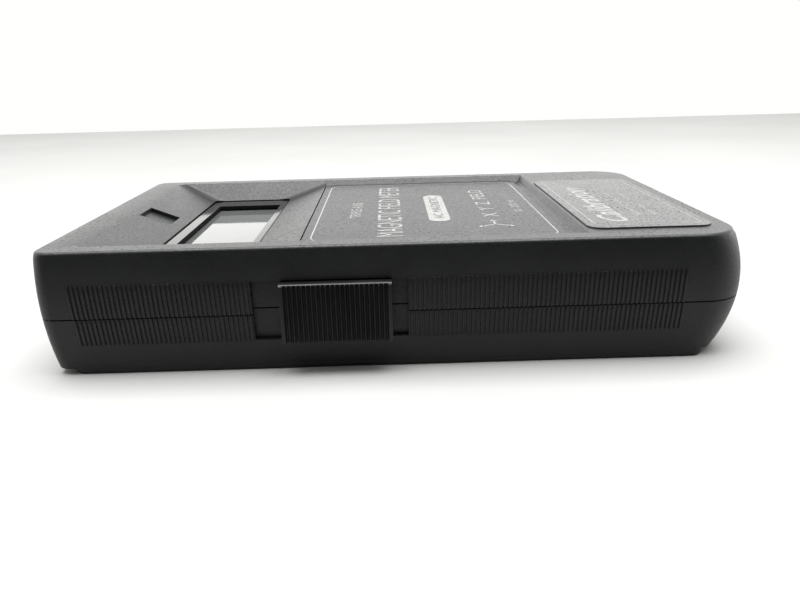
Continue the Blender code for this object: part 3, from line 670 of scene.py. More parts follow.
def merged(meshes: Sequence[Mesh]) -> Mesh:
    """Put separate solids in one mesh.

    Args:
        meshes: The solids; they are used up.

    Returns:
        One bmesh with all of them.
    """
    whole = bmesh.new()
    for mesh in meshes:
        data = bpy.data.meshes.new("part")
        mesh.to_mesh(data)
        mesh.free()
        whole.from_mesh(data)
        bpy.data.meshes.remove(data)
    return whole


def repeat(mesh: Mesh, count: int, step: Point) -> Mesh:
    """Repeat all of a mesh at a constant step.

    Args:
        mesh: The mesh; its copies are added to it.
        count: How many there are in the end.
        step: Distance from one to the next.

    Returns:
        The same mesh.
    """
    first = everything(mesh)
    for i in range(1, count):
        copy = bmesh.ops.duplicate(mesh, geom=first)
        bmesh.ops.translate(mesh, vec=Vector(step) * i, verts=new_verts(copy))
    return mesh


@dataclass
class Solid:
    """A piece in the making, in millimetres, with the tools still to be applied to it."""

    name: str
    mesh: Mesh
    steps: list[tuple[Operation, Mesh]] = field(default_factory=list)

    def cut(self, *tools: Mesh) -> "Solid":
        """Take tools away from the piece."""
        self.steps += [(Operation.CUT, tool) for tool in tools]
        return self

    def join(self, *tools: Mesh) -> "Solid":
        """Add tools to the piece."""
        self.steps += [(Operation.JOIN, tool) for tool in tools]
        return self

    def keep(self, *tools: Mesh) -> "Solid":
        """Keep only what lies inside the tools."""
        self.steps += [(Operation.KEEP, tool) for tool in tools]
        return self

    @staticmethod
    def _object(name: str, mesh: Mesh) -> bpy.types.Object:
        """Turn a bmesh to an object whose faces point outwards."""
        bmesh.ops.recalc_face_normals(mesh, faces=mesh.faces)
        return link_object(name, mesh)

    @staticmethod
    def _bake(made: bpy.types.Object) -> None:
        """Apply every modifier of an object to its mesh."""
        graph = bpy.context.evaluated_depsgraph_get()
        result = bpy.data.meshes.new_from_object(made.evaluated_get(graph))
        made.modifiers.clear()
        made.data = result

    def settle(self, look: bpy.types.Material, body: Body, stands_for: Sequence[str] = (),
               slot: str = "", edge: float = 0.0, crease: float = 38.0) -> bpy.types.Object:
        """Apply the tools, round the crisp edges, shade the piece and put it on its body.

        Args:
            look: Material of the whole piece.
            body: CAD body that it rides on.
            stands_for: CAD nodes that it replaces.
            slot: Material slot name; not used.
            edge: Rounding of its crisp edges, in millimetres.
            crease: Angle in degrees above which an edge stays crisp.

        Returns:
            The finished piece.
        """
        made = self._object(self.name, self.mesh)
        cutters = []
        for operation, tool in self.steps:
            cutter = self._object(f"{self.name}_tool", tool)
            cutters.append(cutter)
            step = made.modifiers.new("step", "BOOLEAN")
            step.operation = operation.value
            step.solver = "EXACT"
            step.object = cutter
        if cutters:
            self._bake(made)
        for cutter in cutters:
            bpy.data.objects.remove(cutter, do_unlink=True)
        if edge:
            rounding = made.modifiers.new("rounding", "BEVEL")
            rounding.width = edge
            rounding.segments = 2
            rounding.limit_method = "ANGLE"
            rounding.angle_limit = math.radians(crease)
            rounding.miter_outer = "MITER_ARC"
            self._bake(made)
        made.data.transform(Matrix.Scale(MM, 4))
        made.data.materials.clear()
        made.data.materials.append(look)
        for face in made.data.polygons:
            face.material_index = 0
        made.data.shade_smooth()
        made.data.set_sharp_from_angle(angle=math.radians(crease))
        normals = made.modifiers.new("flat_faces_stay_flat", "WEIGHTED_NORMAL")
        normals.keep_sharp = True
        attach(made, body.value)
        if stands_for:
            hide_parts(*stands_for)
        LOG.info("%s: %d faces on %s", self.name, len(made.data.polygons), body.value)
        return made


# ---------------------------------------------------------------- case

@dataclass(frozen=True)
class CaseForm:
    """The case's outer form: sides that curve in towards the table and two bulging ends."""

    length: float = 152.4
    width: float = 91.4
    height: float = 28.6
    seam: float = 13.65
    seam_gap: float = 0.3
    wall: float = 2.2
    clearance: float = 0.3
    side_curve: float = 0.0049
    side_widest: float = 1.05
    left_curve: float = 0.0052
    left_widest: float = 14.45
    right_curve: float = 0.018
    right_widest: float = 12.9
    left_corner: float = 3.5
    right_corner: float = 10.0
    top_edge: float = 0.75
    roof: float = 23.1
    floor: float = 2.2
    foot_height: float = 1.5
    foot_ends: tuple[float, float] = (-72.0, 68.3)
    foot_half_width: float = 42.2
    foot_corner: float = 3.0
    foot_rim: float = 0.8

    def half_width(self, z: float) -> float:
        """Half the case's width at a height."""
        return self.width / 2 - self.side_curve * max(self.height - z - self.side_widest, 0.0) ** 2

    def left_end(self, z: float) -> float:
        """X of the display end at a height."""
        return -self.length / 2 + self.left_curve * (self.height - z - self.left_widest) ** 2

    def right_end(self, z: float) -> float:
        """X of the battery end at a height."""
        return self.length / 2 - self.right_curve * (self.height - z - self.right_widest) ** 2

    def block(self, bottom: float, top: float, inset: float = 0.0, levels: int = 9,
              top_edge: float = 0.0) -> Mesh:
        """Make a slice of the case between two heights.

        Args:
            bottom: Lower height.
            top: Upper height.
            inset: How far it is moved in from the outer face.
            levels: Bands that the curve of the sides is made of.
            top_edge: Rounding of the upper rim.

        Returns:
            The slice as a closed bmesh.
        """
        half_length = self.length / 2 - inset
        half_width = self.width / 2 - inset
        mesh = brick((-half_length, -half_width, bottom), (half_length, half_width, top))
        score(mesh, bottom, top, levels)
        for side, radius in ((-1, self.left_corner), (1, self.right_corner)):
            corner = [e for e in mesh.edges if is_upright(e) and e.verts[0].co.x * side > 0
                      and abs(e.verts[0].co.x) > half_length - 1e-3]
            soften(mesh, corner, max(radius - inset, 1.0), 10)
        for vert in mesh.verts:
            z = vert.co.z
            end = self.right_end(z) if vert.co.x > 0 else -self.left_end(z)
            vert.co.x *= (end - inset) / half_length
            vert.co.y *= (self.half_width(z) - inset) / half_width
        if top_edge:
            soften(mesh, level_edges(mesh, top), top_edge, 4)
        return mesh

    def foot(self, top: float) -> Mesh:
        """Make the flat foot under the case, up to a height.

        Args:
            top: Height of its upper face.

        Returns:
            The foot as a closed bmesh.
        """
        left, right = self.foot_ends
        mesh = plate((left, -self.foot_half_width, 0.0), (right, self.foot_half_width, top),
                     self.foot_corner, 8)
        return soften(mesh, level_edges(mesh, 0.0), self.foot_rim, 3)

    def side_bar(self, x_range: tuple[float, float], z_range: tuple[float, float],
                 y_range: tuple[float, float], side: int, rounding: float = 0.0) -> Mesh:
        """Make an upright bar that follows the curve of a long side.

        Args:
            x_range: Its ends along the case.
            z_range: Its lower and upper ends.
            y_range: Its inner and outer faces, measured outwards from the side's face.
            side: -1 for the slide's side, 1 for the other.
            rounding: Rounding of its outer edges.

        Returns:
            The bar as a closed bmesh, still measured from the side's face: wrap() bends it on.
        """
        mesh = brick((x_range[0], y_range[0], z_range[0]), (x_range[1], y_range[1], z_range[1]))
        if rounding:
            outer = [e for e in mesh.edges if all(v.co.y > y_range[1] - NEAR for v in e.verts)]
            soften(mesh, outer, rounding, 2)
        score(mesh, *z_range, 4)
        if side < 0:
            bmesh.ops.scale(mesh, vec=(1, -1, 1), verts=mesh.verts)
        return mesh

    def wrap(self, mesh: Mesh, side: int) -> Mesh:
        """Bend a mesh that is measured from a side's face on to that side."""
        for vert in mesh.verts:
            vert.co.y += side * self.half_width(vert.co.z)
        bmesh.ops.recalc_face_normals(mesh, faces=mesh.faces)
        return mesh


@dataclass
class Ports:
    """Places that both half shells share."""

    form: CaseForm
    pocket: tuple[float, float] = (-30.6, 2.4)
    pocket_heights: tuple[float, float] = (7.6, 21.3)
    pocket_depth: float = 1.2
    slot: tuple[float, float] = (-18.5, -9.9)
    case_screws: Places = ((-67.5, -36.0), (-67.5, 36.0), (62.0, -36.0), (62.0, 36.0))
    board_screws: Places = ((-60.3, -28.0), (-60.3, 28.0), (31.0, -35.0), (31.0, 35.0))
    case_boss: float = 3.9
    case_pilot: float = 1.8
    board_boss: float = 2.5
    board_pilot: float = 1.4
    head_hole: float = 3.1

    def pocket_tool(self) -> Mesh:
        """Shallow pocket that the power slide sits in."""
        bar = self.form.side_bar(self.pocket, self.pocket_heights, (-self.pocket_depth, 6.0), -1)
        return self.form.wrap(bar, -1)

    def seam_step(self, gap: float) -> Mesh:
        """Tab of the rear shell that shows in the pocket, where the seam steps up."""
        top = self.form.seam + 1.2
        bar = self.form.side_bar((self.pocket[0] - 0.5, self.pocket[1] + 0.5),
                                 (self.form.seam - 0.6, top + gap / 2),
                                 (-1.58 - gap, -self.pocket_depth), -1)
        return self.form.wrap(bar, -1)

    def slot_tool(self) -> Mesh:
        """Slot through the wall for the slide's shank."""
        middle = self.form.seam
        return brick((self.slot[0], -46.0, middle - 1.6), (self.slot[1], -38.0, middle + 1.6))

    def holes(self, places: Places, radius: float, bottom: float, top: float) -> Mesh:
        """Round bars at a list of places, in one mesh."""
        return merged([rod((x, y, (bottom + top) / 2), radius, top - bottom) for x, y in places])


@dataclass
class GripRibs:
    """Fine upright ribs on both long sides, in banks that stop at the seam."""

    form: CaseForm
    pitch: float = 1.0
    width: float = 0.56
    proud: float = 0.34
    root: float = 0.6
    lower: tuple[float, float] = (7.4, 13.6)
    upper: tuple[float, float] = (13.7, 21.3)
    lower_shift: float = 0.25
    near_banks: Places = ((-68.6, -30.6), (2.6, 61.6))
    far_banks: Places = ((-68.6, 61.4),)

    def bank(self, x_range: tuple[float, float], z_range: tuple[float, float], side: int,
             shift: float) -> Mesh:
        """Make one bank of ribs.

        Args:
            x_range: First and last place along the case.
            z_range: Lower and upper ends of the ribs.
            side: Long side that they stand on.
            shift: How far the bank is moved along the case.

        Returns:
            The ribs in one bmesh.
        """
        count = round((x_range[1] - x_range[0]) / self.pitch)
        start = x_range[0] + shift
        rib = self.form.side_bar((start, start + self.width), z_range, (-self.root, self.proud), side, 0.25)
        return self.form.wrap(repeat(rib, count, (self.pitch, 0, 0)), side)

    def build(self, palette: Palette) -> None:
        """Build the banks of both shells."""
        for shell, heights, shift in (("front", self.upper, 0.0), ("rear", self.lower, self.lower_shift)):
            banks = [self.bank(place, heights, -1, shift) for place in self.near_banks]
            banks += [self.bank(place, heights, 1, shift) for place in self.far_banks]
            Solid(f"{shell}_grip_ribs", merged(banks)).settle(palette.case, Body.CASE, slot="black_abs")


@dataclass
class FrontShell:
    """Upper half of the case: hopper around the display, label recess, bosses."""

    form: CaseForm
    ports: Ports
    rim_left: float = -67.5
    rim_half_width: float = 41.0
    split: float = -20.9
    label_depth: float = 2.0
    label_step: float = 1.4
    label_floor_end: float = 39.7
    label_rim_end: float = 41.1
    label_fillet: float = 0.7
    wall_slope: float = 0.9
    window: tuple[float, float] = (-55.5, -32.0)
    window_half_width: float = 36.2
    window_depth: float = 4.8
    window_corner: float = 1.2
    valley: float = 1.6
    mark: tuple[float, float, float, float] = (-65.7, -58.3, -4.0, 5.8)
    mark_depth: float = 1.1
    label_room: tuple[Point, Point] = ((-19.0, -31.0, 20.0), (42.5, 31.0, 24.4))
    battery_room: tuple[Point, Point] = ((42.0, -30.0, 20.0), (69.0, 30.0, 25.6))

    def hopper_tool(self) -> Mesh:
        """Make the funnel of four sloping faces around the display.

        Returns:
            The funnel as a cutter, with soft valleys between its faces.
        """
        base = self.form.height - self.window_depth
        above = 1.0
        mesh = brick((self.window[0], -self.window_half_width, base),
                     (self.window[1], self.window_half_width, self.form.height + above))
        left = (self.window[0] - self.rim_left) / self.window_depth
        side = (self.rim_half_width - self.window_half_width) / self.window_depth
        right = (self.split - self.window[1]) / (self.window_depth - self.label_step)
        for vert in mesh.verts:
            rise = vert.co.z - base
            middle = vert.co.x < sum(self.window) / 2
            vert.co.x += -left * rise if middle else right * rise
            vert.co.y += math.copysign(side * rise, vert.co.y)
        slanted = [e for e in mesh.edges if abs(e.verts[0].co.z - e.verts[1].co.z) > 1.0]
        soften(mesh, slanted, self.valley, 5)
        cut = bmesh.ops.bisect_plane(mesh, geom=everything(mesh), plane_co=(self.split + 0.02, 0, 0),
                                     plane_no=(1, 0, 0), clear_outer=True)
        rim = [item for item in cut["geom_cut"] if isinstance(item, bmesh.types.BMEdge)]
        bmesh.ops.contextual_create(mesh, geom=rim)
        return mesh

    def label_tool(self) -> Mesh:
        """Make the label's recess, with a sloping wall at its battery end.

        Returns:
            The recess as a cutter.
        """
        bottom = self.form.height - self.label_depth
        top = self.form.height + 1.0
        mesh = brick((self.split, -self.rim_half_width, bottom),
                     (self.label_floor_end, self.rim_half_width, top))
        slope = (self.label_rim_end - self.label_floor_end) / self.label_depth
        for vert in mesh.verts:
            if vert.co.x > 0:
                vert.co.x += slope * (vert.co.z - bottom)
        foot = [e for e in mesh.edges if all(v.co.x > 0 and v.co.z < bottom + 1e-3 for v in e.verts)]
        soften(mesh, foot, self.label_fillet, 5)
        for vert in mesh.verts:
            lean = self.wall_slope * (vert.co.z - bottom - self.label_depth)
            vert.co.y += lean if vert.co.y > 0 else -lean
        return mesh

    def mark_tool(self) -> Mesh:
        """Make the shallow square mark moulded in the slope above the display.

        Returns:
            The mark as a cutter whose floor is parallel to the slope.
        """
        left, right, low, high = self.mark
        mesh = brick((left, low, -self.mark_depth), (right, high, 6.0))
        slope = self.window_depth / (self.window[0] - self.rim_left)
        for vert in mesh.verts:
            vert.co.z += self.form.height - slope * (vert.co.x - self.rim_left)
        return mesh

    def build(self, palette: Palette) -> None:
        """Build the shell.

        Args:
            palette: The meter's finishes.
        """
        form, ports = self.form, self.ports
        seam = form.seam + form.seam_gap / 2
        window = plate((self.window[0], -self.window_half_width, 20.0),
                       (self.window[1], self.window_half_width, form.height - self.window_depth + 0.15),
                       self.window_corner, 4)
        shell = Solid("front_shell_moulding", form.block(seam, form.height, levels=10, top_edge=form.top_edge))
        shell.cut(form.block(10.0, form.roof, form.wall, 6), form.block(12.0, seam + 1.7, form.wall - 0.9, 2),
                  brick(*self.label_room), brick(*self.battery_room),
                  self.hopper_tool(), window, self.label_tool(), self.mark_tool(),
                  ports.pocket_tool(), ports.seam_step(form.seam_gap), ports.slot_tool())
        shell.join(ports.holes(ports.case_screws, ports.case_boss, seam, form.roof + 0.8),
                   ports.holes(ports.board_screws, ports.board_boss, 17.9, form.roof + 0.8))
        shell.cut(ports.holes(ports.case_screws, ports.case_pilot, seam - 1, 20.5),
                  ports.holes(ports.board_screws, ports.board_pilot, 16.6, 22.5))
        shell.settle(palette.case, Body.CASE, ("front_shell",), "black_abs", edge=0.14)


@dataclass
class RearShell:
    """Lower half of the case: foot, screw posts, battery bay and the door's opening."""

    form: CaseForm
    ports: Ports
    bay_left: float = 38.3
    bay_half_width: float = 28.0
    door_top: float = 9.0
    tongue: float = 1.0
    bay_wall: float = 1.2
    bay_top: float = 13.0
    plate_recess: tuple[float, float, float] = (-58.3, -11.7, 22.0)

    def bay_walls(self) -> list[Mesh]:
        """Three low walls that hold the battery."""
        inner = self.bay_half_width + self.tongue + self.form.clearance
        outer = inner + self.bay_wall
        low, high = self.form.floor - 0.6, self.bay_top
        left, right = self.bay_left - self.form.clearance - self.bay_wall, 68.0
        return [brick((left, -outer, low), (left + self.bay_wall, outer, high)),
                brick((left, -outer, low), (right, -inner, high)),
                brick((left, inner, low), (right, outer, high))]

    def build(self, palette: Palette) -> None:
        """Build the shell.

        Args:
            palette: The meter's finishes.
        """
        form, ports = self.form, self.ports
        gap = form.clearance
        seam = form.seam - form.seam_gap / 2
        half = self.bay_half_width
        shell = Solid("rear_shell_moulding", form.block(form.foot_height, seam, levels=8))
        shell.join(form.foot(3.0), form.block(10.0, seam + 1.4, form.wall - 0.9 + gap, 2))
        shell.cut(form.block(form.floor, 16.0, form.wall, 7), ports.pocket_tool())
        shell.join(ports.seam_step(-form.seam_gap)).cut(ports.slot_tool())
        shell.join(*self.bay_walls(), ports.holes(ports.case_screws, ports.case_boss, form.floor - 0.6, seam))
        shell.cut(ports.holes(ports.case_screws, ports.head_hole, -1.0, 7.0),
                  ports.holes(ports.case_screws, ports.case_pilot, 6.0, 15.0),
                  brick((self.bay_left - gap, -half - gap, -1.0), (90.0, half + gap, self.door_top + gap)),
                  brick((self.bay_left + 0.5, -half - self.tongue - gap, 1.0),
                        (90.0, half + self.tongue + gap, 2.6)))
        left, right, side = self.plate_recess
        shell.cut(plate((left, -side, -1.0), (right, side, 0.9), 1.5, 4))
        shell.settle(palette.case, Body.CASE, ("rear_shell",), "black_abs", edge=0.14)

    def build_door(self, palette: Palette) -> None:
        """Build the sliding battery door, with its thumb grooves and tongues.

        Args:
            palette: The meter's finishes.
        """
        form = self.form
        half = self.bay_half_width
        door = Solid("battery_door_moulding", form.block(form.foot_height, self.door_top, levels=6))
        door.join(form.foot(2.5))
        door.keep(brick((self.bay_left, -half, -1.0), (90.0, half, self.door_top)))
        door.cut(form.block(form.floor, 12.0, form.wall, 6))
        for side in (-1, 1):
            low, high = sorted((side * (half + self.tongue), side * (half - 1.0)))
            door.join(brick((self.bay_left + 1.0, low, 1.3), (64.0, high, 2.1)))
        groove = rod((56.5, 0.0, 0.0), 0.5, 16.0, Axis.Y, 12)
        door.cut(repeat(groove, 4, (2.0, 0, 0)))
        door.cut(arrowhead((48.0, 0.0, 0.0), 3.0, 0.8))
        door.settle(palette.case, Body.COVER, ("battery_door",), "black_abs", edge=0.14)


@dataclass
class PowerSlide:
    """Ribbed thumb piece on the long side, with its shank and fork."""

    form: CaseForm
    length: float = 23.4
    centre: float = -12.7
    bottom: float = 7.9
    top: float = 20.9
    front: float = -47.6
    back: float = -44.9
    groove_pitch: float = 1.0
    groove_radius: float = 0.42
    grooves: int = 22
    shank_width: float = 5.0
    shank_height: float = 2.4
    shank_end: float = -38.6

    def build(self, palette: Palette) -> None:
        """Build the slide.

        Args:
            palette: The meter's finishes.
        """
        half = self.length / 2
        block = brick((self.centre - half, self.front, self.bottom), (self.centre + half, self.back, self.top))
        lip = [e for e in block.edges if all(v.co.y < self.front + 1e-3 and v.co.z > self.top - 1e-3
                                             for v in e.verts)]
        soften(block, lip, 0.8, 4)
        rest = [e for e in block.edges if all(v.co.y < self.front + 1e-3 for v in e.verts)
                and (is_upright(e) or e.verts[0].co.z < self.bottom + 1e-3)]
        soften(block, rest, 0.35, 3)
        first = self.centre - self.groove_pitch * (self.grooves - 1) / 2
        groove = rod((first, self.front, (self.bottom + self.top) / 2 - 1.0), self.groove_radius,
                     self.top - self.bottom + 1.5, sides=12)
        bmesh.ops.scale(groove, vec=(1.0, 1.5, 1.0), verts=groove.verts,
                        space=Matrix.Translation((-first, -self.front, 0.0)))
        middle = self.form.seam
        low = middle - self.shank_height / 2
        shank = brick((self.centre - self.shank_width / 2, self.back - 0.6, low),
                      (self.centre + self.shank_width / 2, self.shank_end, low + self.shank_height))
        fork = brick((self.centre - 1.3, -41.4, low - 1), (self.centre + 1.3, self.shank_end + 1, low + 4))
        slide = Solid("power_slide_cap", block)
        slide.cut(repeat(groove, self.grooves, (self.groove_pitch, 0, 0))).join(shank).cut(fork)
        slide.settle(palette.slide, Body.SLIDE, ("power_knob",), "black_abs", edge=0.05)


# ---------------------------------------------------------------- display

@dataclass
class Display:
    """Polished bezel ring and the liquid crystal cell behind it."""

    form: CaseForm
    front: FrontShell
    centre: float = -43.2
    view: tuple[float, float] = (18.2, 56.4)
    bezel: tuple[float, float] = (22.4, 23.6)
    flange: float = 1.3
    glass: tuple[float, float] = (26.0, 60.0)
    rear_width: float = 20.0
    top: float = 22.1
    sheet: float = 1.0

    def build(self, palette: Palette) -> None:
        """Build the bezel and the cell.

        Args:
            palette: The meter's finishes.
        """
        gap = self.form.clearance
        low, high = self.bezel
        left, right = self.front.window
        half = self.front.window_half_width
        view_x, view_y = self.view[0] / 2, self.view[1] / 2
        ring = plate((left + gap, gap - half, low + 0.1), (right - gap, half - gap, high), 0.9, 4, edge=0.3)
        bezel = Solid("display_bezel_ring", ring)
        bezel.join(brick((left - self.flange, -half - self.flange, low),
                         (right + self.flange, half + self.flange, self.form.roof - gap)))
        bezel.cut(plate((self.centre - view_x, -view_y, 20.0), (self.centre + view_x, view_y, 30.0), 0.5, 3))
        bezel.settle(palette.bezel, Body.CASE, ("display_bezel",), "gloss_black", edge=0.12)

        half_x, half_y = self.glass[0] / 2, self.glass[1] / 2
        middle = self.top - self.sheet
        rear = self.rear_width / 2
        front_glass = plate((self.centre - half_x, -half_y, middle), (self.centre + half_x, half_y, self.top),
                            0.4, 2, edge=0.12)
        rear_glass = plate((self.centre - rear, 0.5 - half_y, middle - self.sheet),
                           (self.centre + rear, half_y - 0.5, middle + 0.2), 0.4, 2)
        Solid("display_cell", front_glass).join(rear_glass).settle(
            palette.display, Body.CASE, ("lcd_panel",), "display_glass")


# ---------------------------------------------------------------- printing

@dataclass
class Lettering:
    """Flat words and lines printed on a face at one height, all in one piece."""

    name: str
    face: float
    thickness: float = 0.02
    marks: list[Mesh] = field(default_factory=list)

    def word(self, text: str, across: tuple[float, float], along: tuple[float, float],
             slant: float = 0.0, weight: float = 0.0) -> "Lettering":
        """Print a word that reads towards +Y, with its head towards -X.

        Args:
            text: The word.
            across: X of its head and of its foot.
            along: Y of its start and of its end.
            slant: Lean of the letters.
            weight: Extra boldness.

        Returns:
            This piece.
        """
        curve = bpy.data.curves.new("word", "FONT")
        curve.body = text
        curve.shear = slant
        curve.offset = weight
        curve.extrude = 0.5
        curve.resolution_u = 3
        holder = bpy.data.objects.new("word", curve)
        bpy.context.collection.objects.link(holder)
        graph = bpy.context.evaluated_depsgraph_get()
        data = bpy.data.meshes.new_from_object(holder.evaluated_get(graph))
        bpy.data.objects.remove(holder, do_unlink=True)
        bpy.data.curves.remove(curve)
        mesh = bmesh.new()
        mesh.from_mesh(data)
        bpy.data.meshes.remove(data)
        bmesh.ops.remove_doubles(mesh, verts=mesh.verts, dist=1e-5)
        lows = [min(v.co[i] for v in mesh.verts) for i in range(3)]
        highs = [max(v.co[i] for v in mesh.verts) for i in range(3)]
        bmesh.ops.translate(mesh, vec=-Vector(lows), verts=mesh.verts)
        spans = [high - low for low, high in zip(lows, highs)]
        size = ((along[1] - along[0]) / spans[0], (across[1] - across[0]) / spans[1], self.thickness / spans[2])
        bmesh.ops.scale(mesh, vec=size, verts=mesh.verts)
        bmesh.ops.rotate(mesh, cent=(0, 0, 0), matrix=Matrix.Rotation(math.pi / 2, 3, "Z"), verts=mesh.verts)
        bmesh.ops.translate(mesh, vec=(across[1], along[0], self.face), verts=mesh.verts)
        self.marks.append(mesh)
        return self

    def border(self, low: tuple[float, float], high: tuple[float, float], corner: float,
               line: float) -> "Lettering":
        """Print a line round a rectangle with rounded corners.

        Args:
            low: Lowest X and Y of its outer edge.
            high: Highest X and Y of its outer edge.
            corner: Outer radius of its corners.
            line: Width of the line.

        Returns:
            This piece.
        """
        mesh = plate((*low, self.face), (*high, self.face + self.thickness), corner, 8)
        caps = [f for f in mesh.faces if abs(f.normal.z) > 0.9]
        bmesh.ops.inset_individual(mesh, faces=caps, thickness=line)
        caps = [f for f in mesh.faces if abs(f.normal.z) > 0.9 and len(f.verts) > 4]
        rims = [e for f in caps for e in f.edges]
        bmesh.ops.delete(mesh, geom=caps, context="FACES_ONLY")
        bmesh.ops.bridge_loops(mesh, edges=rims)
        self.marks.append(mesh)
        return self

    def patch(self, low: tuple[float, float], high: tuple[float, float], corner: float) -> "Lettering":
        """Print a solid rectangle with rounded corners."""
        self.marks.append(plate((*low, self.face), (*high, self.face + self.thickness), corner, 8))
        return self

    def arrow(self, centre: tuple[float, float], reach: float, degrees: float) -> "Lettering":
        """Print a short arrow that points away from a centre.

        Args:
            centre: Where it starts, in X and Y.
            reach: Its length.
            degrees: Its direction in plan.

        Returns:
            This piece.
        """
        shaft = brick((0.0, -0.28, 0.0), (reach - 1.0, 0.28, self.thickness))
        head = arrowhead((reach - 1.0, 0.0, self.thickness / 2), 1.15, self.thickness)
        whole = merged([shaft, head])
        bmesh.ops.rotate(whole, cent=(0, 0, 0), matrix=Matrix.Rotation(math.radians(degrees), 3, "Z"),
                         verts=whole.verts)
        bmesh.ops.translate(whole, vec=(*centre, self.face), verts=whole.verts)
        self.marks.append(whole)
        return self

    def settle(self, look: bpy.types.Material, slot: str) -> None:
        """Finish the printing and put it on the case."""
        Solid(self.name, merged(self.marks)).settle(look, Body.CASE, slot=slot)


@dataclass
class FaceLabel:
    """Printed film in the recess of the face."""

    form: CaseForm
    left: float = -20.6
    right: float = 38.1
    half_width: float = 39.6
    top_depth: float = 1.4
    thickness: float = 0.3
    ink_gap: float = 0.005

    def build(self, palette: Palette) -> None:
        """Build the film and its printing.

        Args:
            palette: The meter's finishes.
        """
        top = self.form.height - self.top_depth
        film = plate((self.left, -self.half_width, top - self.thickness), (self.right, self.half_width, top),
                     1.5, 5, edge=0.08)
        Solid("face_label_film", film).settle(palette.face_film, Body.CASE, ("face_label",), "face_film")
        white = Lettering("face_printing", top + self.ink_gap)
        white.border((-18.8, -36.8), (36.4, 36.8), 4.0, 0.32)
        white.word("TRIPLE AXIS", (-11.0, -8.2), (-12.2, 7.6))
        white.word("MAGNETIC FIELD METER", (-4.0, 2.0), (-33.5, 32.0), weight=-0.004)
        white.patch((8.6, -19.0), (13.8, 16.4), 2.5)
        white.word("X  Y  Z  FIELD", (22.1, 25.9), (-15.3, 23.2))
        white.word("30 - 2000 Hz", (30.7, 32.8), (-10.1, 5.5))
        for degrees in (90, 210, 330):
            white.arrow((23.7, -24.0), 4.8, degrees)
        white.settle(palette.white_ink, "face_film")
        # The black words lie on the white patch.
        dark = Lettering("range_printing", top + self.ink_gap + white.thickness + 0.002)
        dark.word("AC  MAGNETIC", (10.0, 12.4), (-15.5, 13.0))
        dark.settle(palette.black_ink, "face_film")


@dataclass
class ServiceSticker:
    """Slightly raised sticker at the battery end, nearer the slide's side."""

    low: tuple[float, float] = (42.0, -38.5)
    high: tuple[float, float] = (69.3, 26.5)
    corner: float = 3.5
    heights: tuple[float, float] = (28.62, 28.95)
    inset: float = 1.9
    ink_gap: float = 0.005

    def build(self, palette: Palette) -> None:
        """Build the sticker and its printing.

        Args:
            palette: The meter's finishes.
        """
        bottom, top = self.heights
        film = plate((*self.low, bottom), (*self.high, top), self.corner, 8, edge=0.1)
        Solid("service_sticker_film", film).settle(palette.sticker, Body.CASE, ("service_sticker",),
                                                   "sticker_film")
        print_on = Lettering("service_sticker_printing", top + self.ink_gap)
        print_on.border(tuple(place + self.inset for place in self.low),
                        tuple(place - self.inset for place in self.high), self.corner - self.inset + 0.8, 0.25)
        print_on.word("Calibration", (46.6, 52.6), (-33.0, 12.0), slant=0.45, weight=0.02)
        print_on.word("Next check due", (55.6, 57.4), (-27.0, 3.0))
        print_on.word("Signed    Date", (59.6, 61.2), (-27.0, 3.0))
        print_on.settle(palette.white_ink, "sticker_film")


# ---------------------------------------------------------------- inside

@dataclass
class ChipLegs:
    """Legs of a flat package, from its two long sides down to the board."""

    board_top: float = 17.6
    pitch: float = 2.54
    shoulder: float = 0.75
    blade: float = 0.25

    def build(self, node: str, count: int, palette: Palette) -> None:
        """Build the legs of one package.

        Args:
            node: CAD node of the package.
            count: Legs on each side.
            palette: The meter's finishes.
        """
        low, high = (Vector(corner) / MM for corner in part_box(node))
        middle = (low + high) / 2
        start = middle.y - self.pitch * (count - 1) / 2
        sides = []
        for side in (-1, 1):
            face = high.x if side > 0 else low.x
            inner, outer = sorted((face - side * 0.2, face + side * self.shoulder))
            leg = brick((inner, start - 0.35, middle.z - 0.13), (outer, start + 0.35, middle.z + 0.13))
            bmesh.ops.bisect_plane(leg, geom=everything(leg), plane_no=(1, 0, 0),
                                   plane_co=(face + side * (self.shoulder - self.blade), 0, 0))
            under = [f for f in leg.faces if f.normal.z < -0.9 and (f.calc_center_median().x - face) * side
                     > self.shoulder - self.blade]
            drop = bmesh.ops.extrude_face_region(leg, geom=under)
            verts = new_verts(drop)
            bmesh.ops.delete(leg, geom=under, context="FACES")
            bmesh.ops.translate(leg, vec=(0, 0, self.board_top + 0.02 - (middle.z - 0.13)), verts=verts)
            sides.append(repeat(leg, count, (0, self.pitch, 0)))
        Solid(f"{node}_legs", merged(sides)).settle(palette.tin, Body.CASE, slot="chip_epoxy", crease=30.0)


@dataclass
class BatteryPad:
    """Soft foam pad between the battery and the shell."""

    low: Point = (46.0, -16.0, 20.8)
    high: Point = (62.0, 8.0, 25.3)

    def build(self, palette: Palette) -> None:
        """Build the pad with slightly crowned faces.

        Args:
            palette: The meter's finishes.
        """
        mesh = brick(self.low, self.high)
        bmesh.ops.subdivide_edges(mesh, edges=mesh.edges[:], cuts=7, use_grid_fill=True)
        middle = (Vector(self.low) + Vector(self.high)) / 2
        reach = (Vector(self.high) - Vector(self.low)) / 2
        for vert in mesh.verts:
            part = [(vert.co[i] - middle[i]) / reach[i] for i in range(3)]
            pinch = 0.45 * (1 - part[2] ** 2)
            vert.co.x -= part[0] * 0.3 * (part[1] ** 2) + part[0] * pinch * 0.3
            vert.co.y -= part[1] * 0.3 * (part[0] ** 2) + part[1] * pinch * 0.3
            vert.co.z -= part[2] * 0.35 * max(part[0] ** 2, part[1] ** 2) ** 2
        pad = Solid("battery_foam_pad", mesh).settle(palette.foam, Body.CASE, ("battery_pad",), "grey_foam")


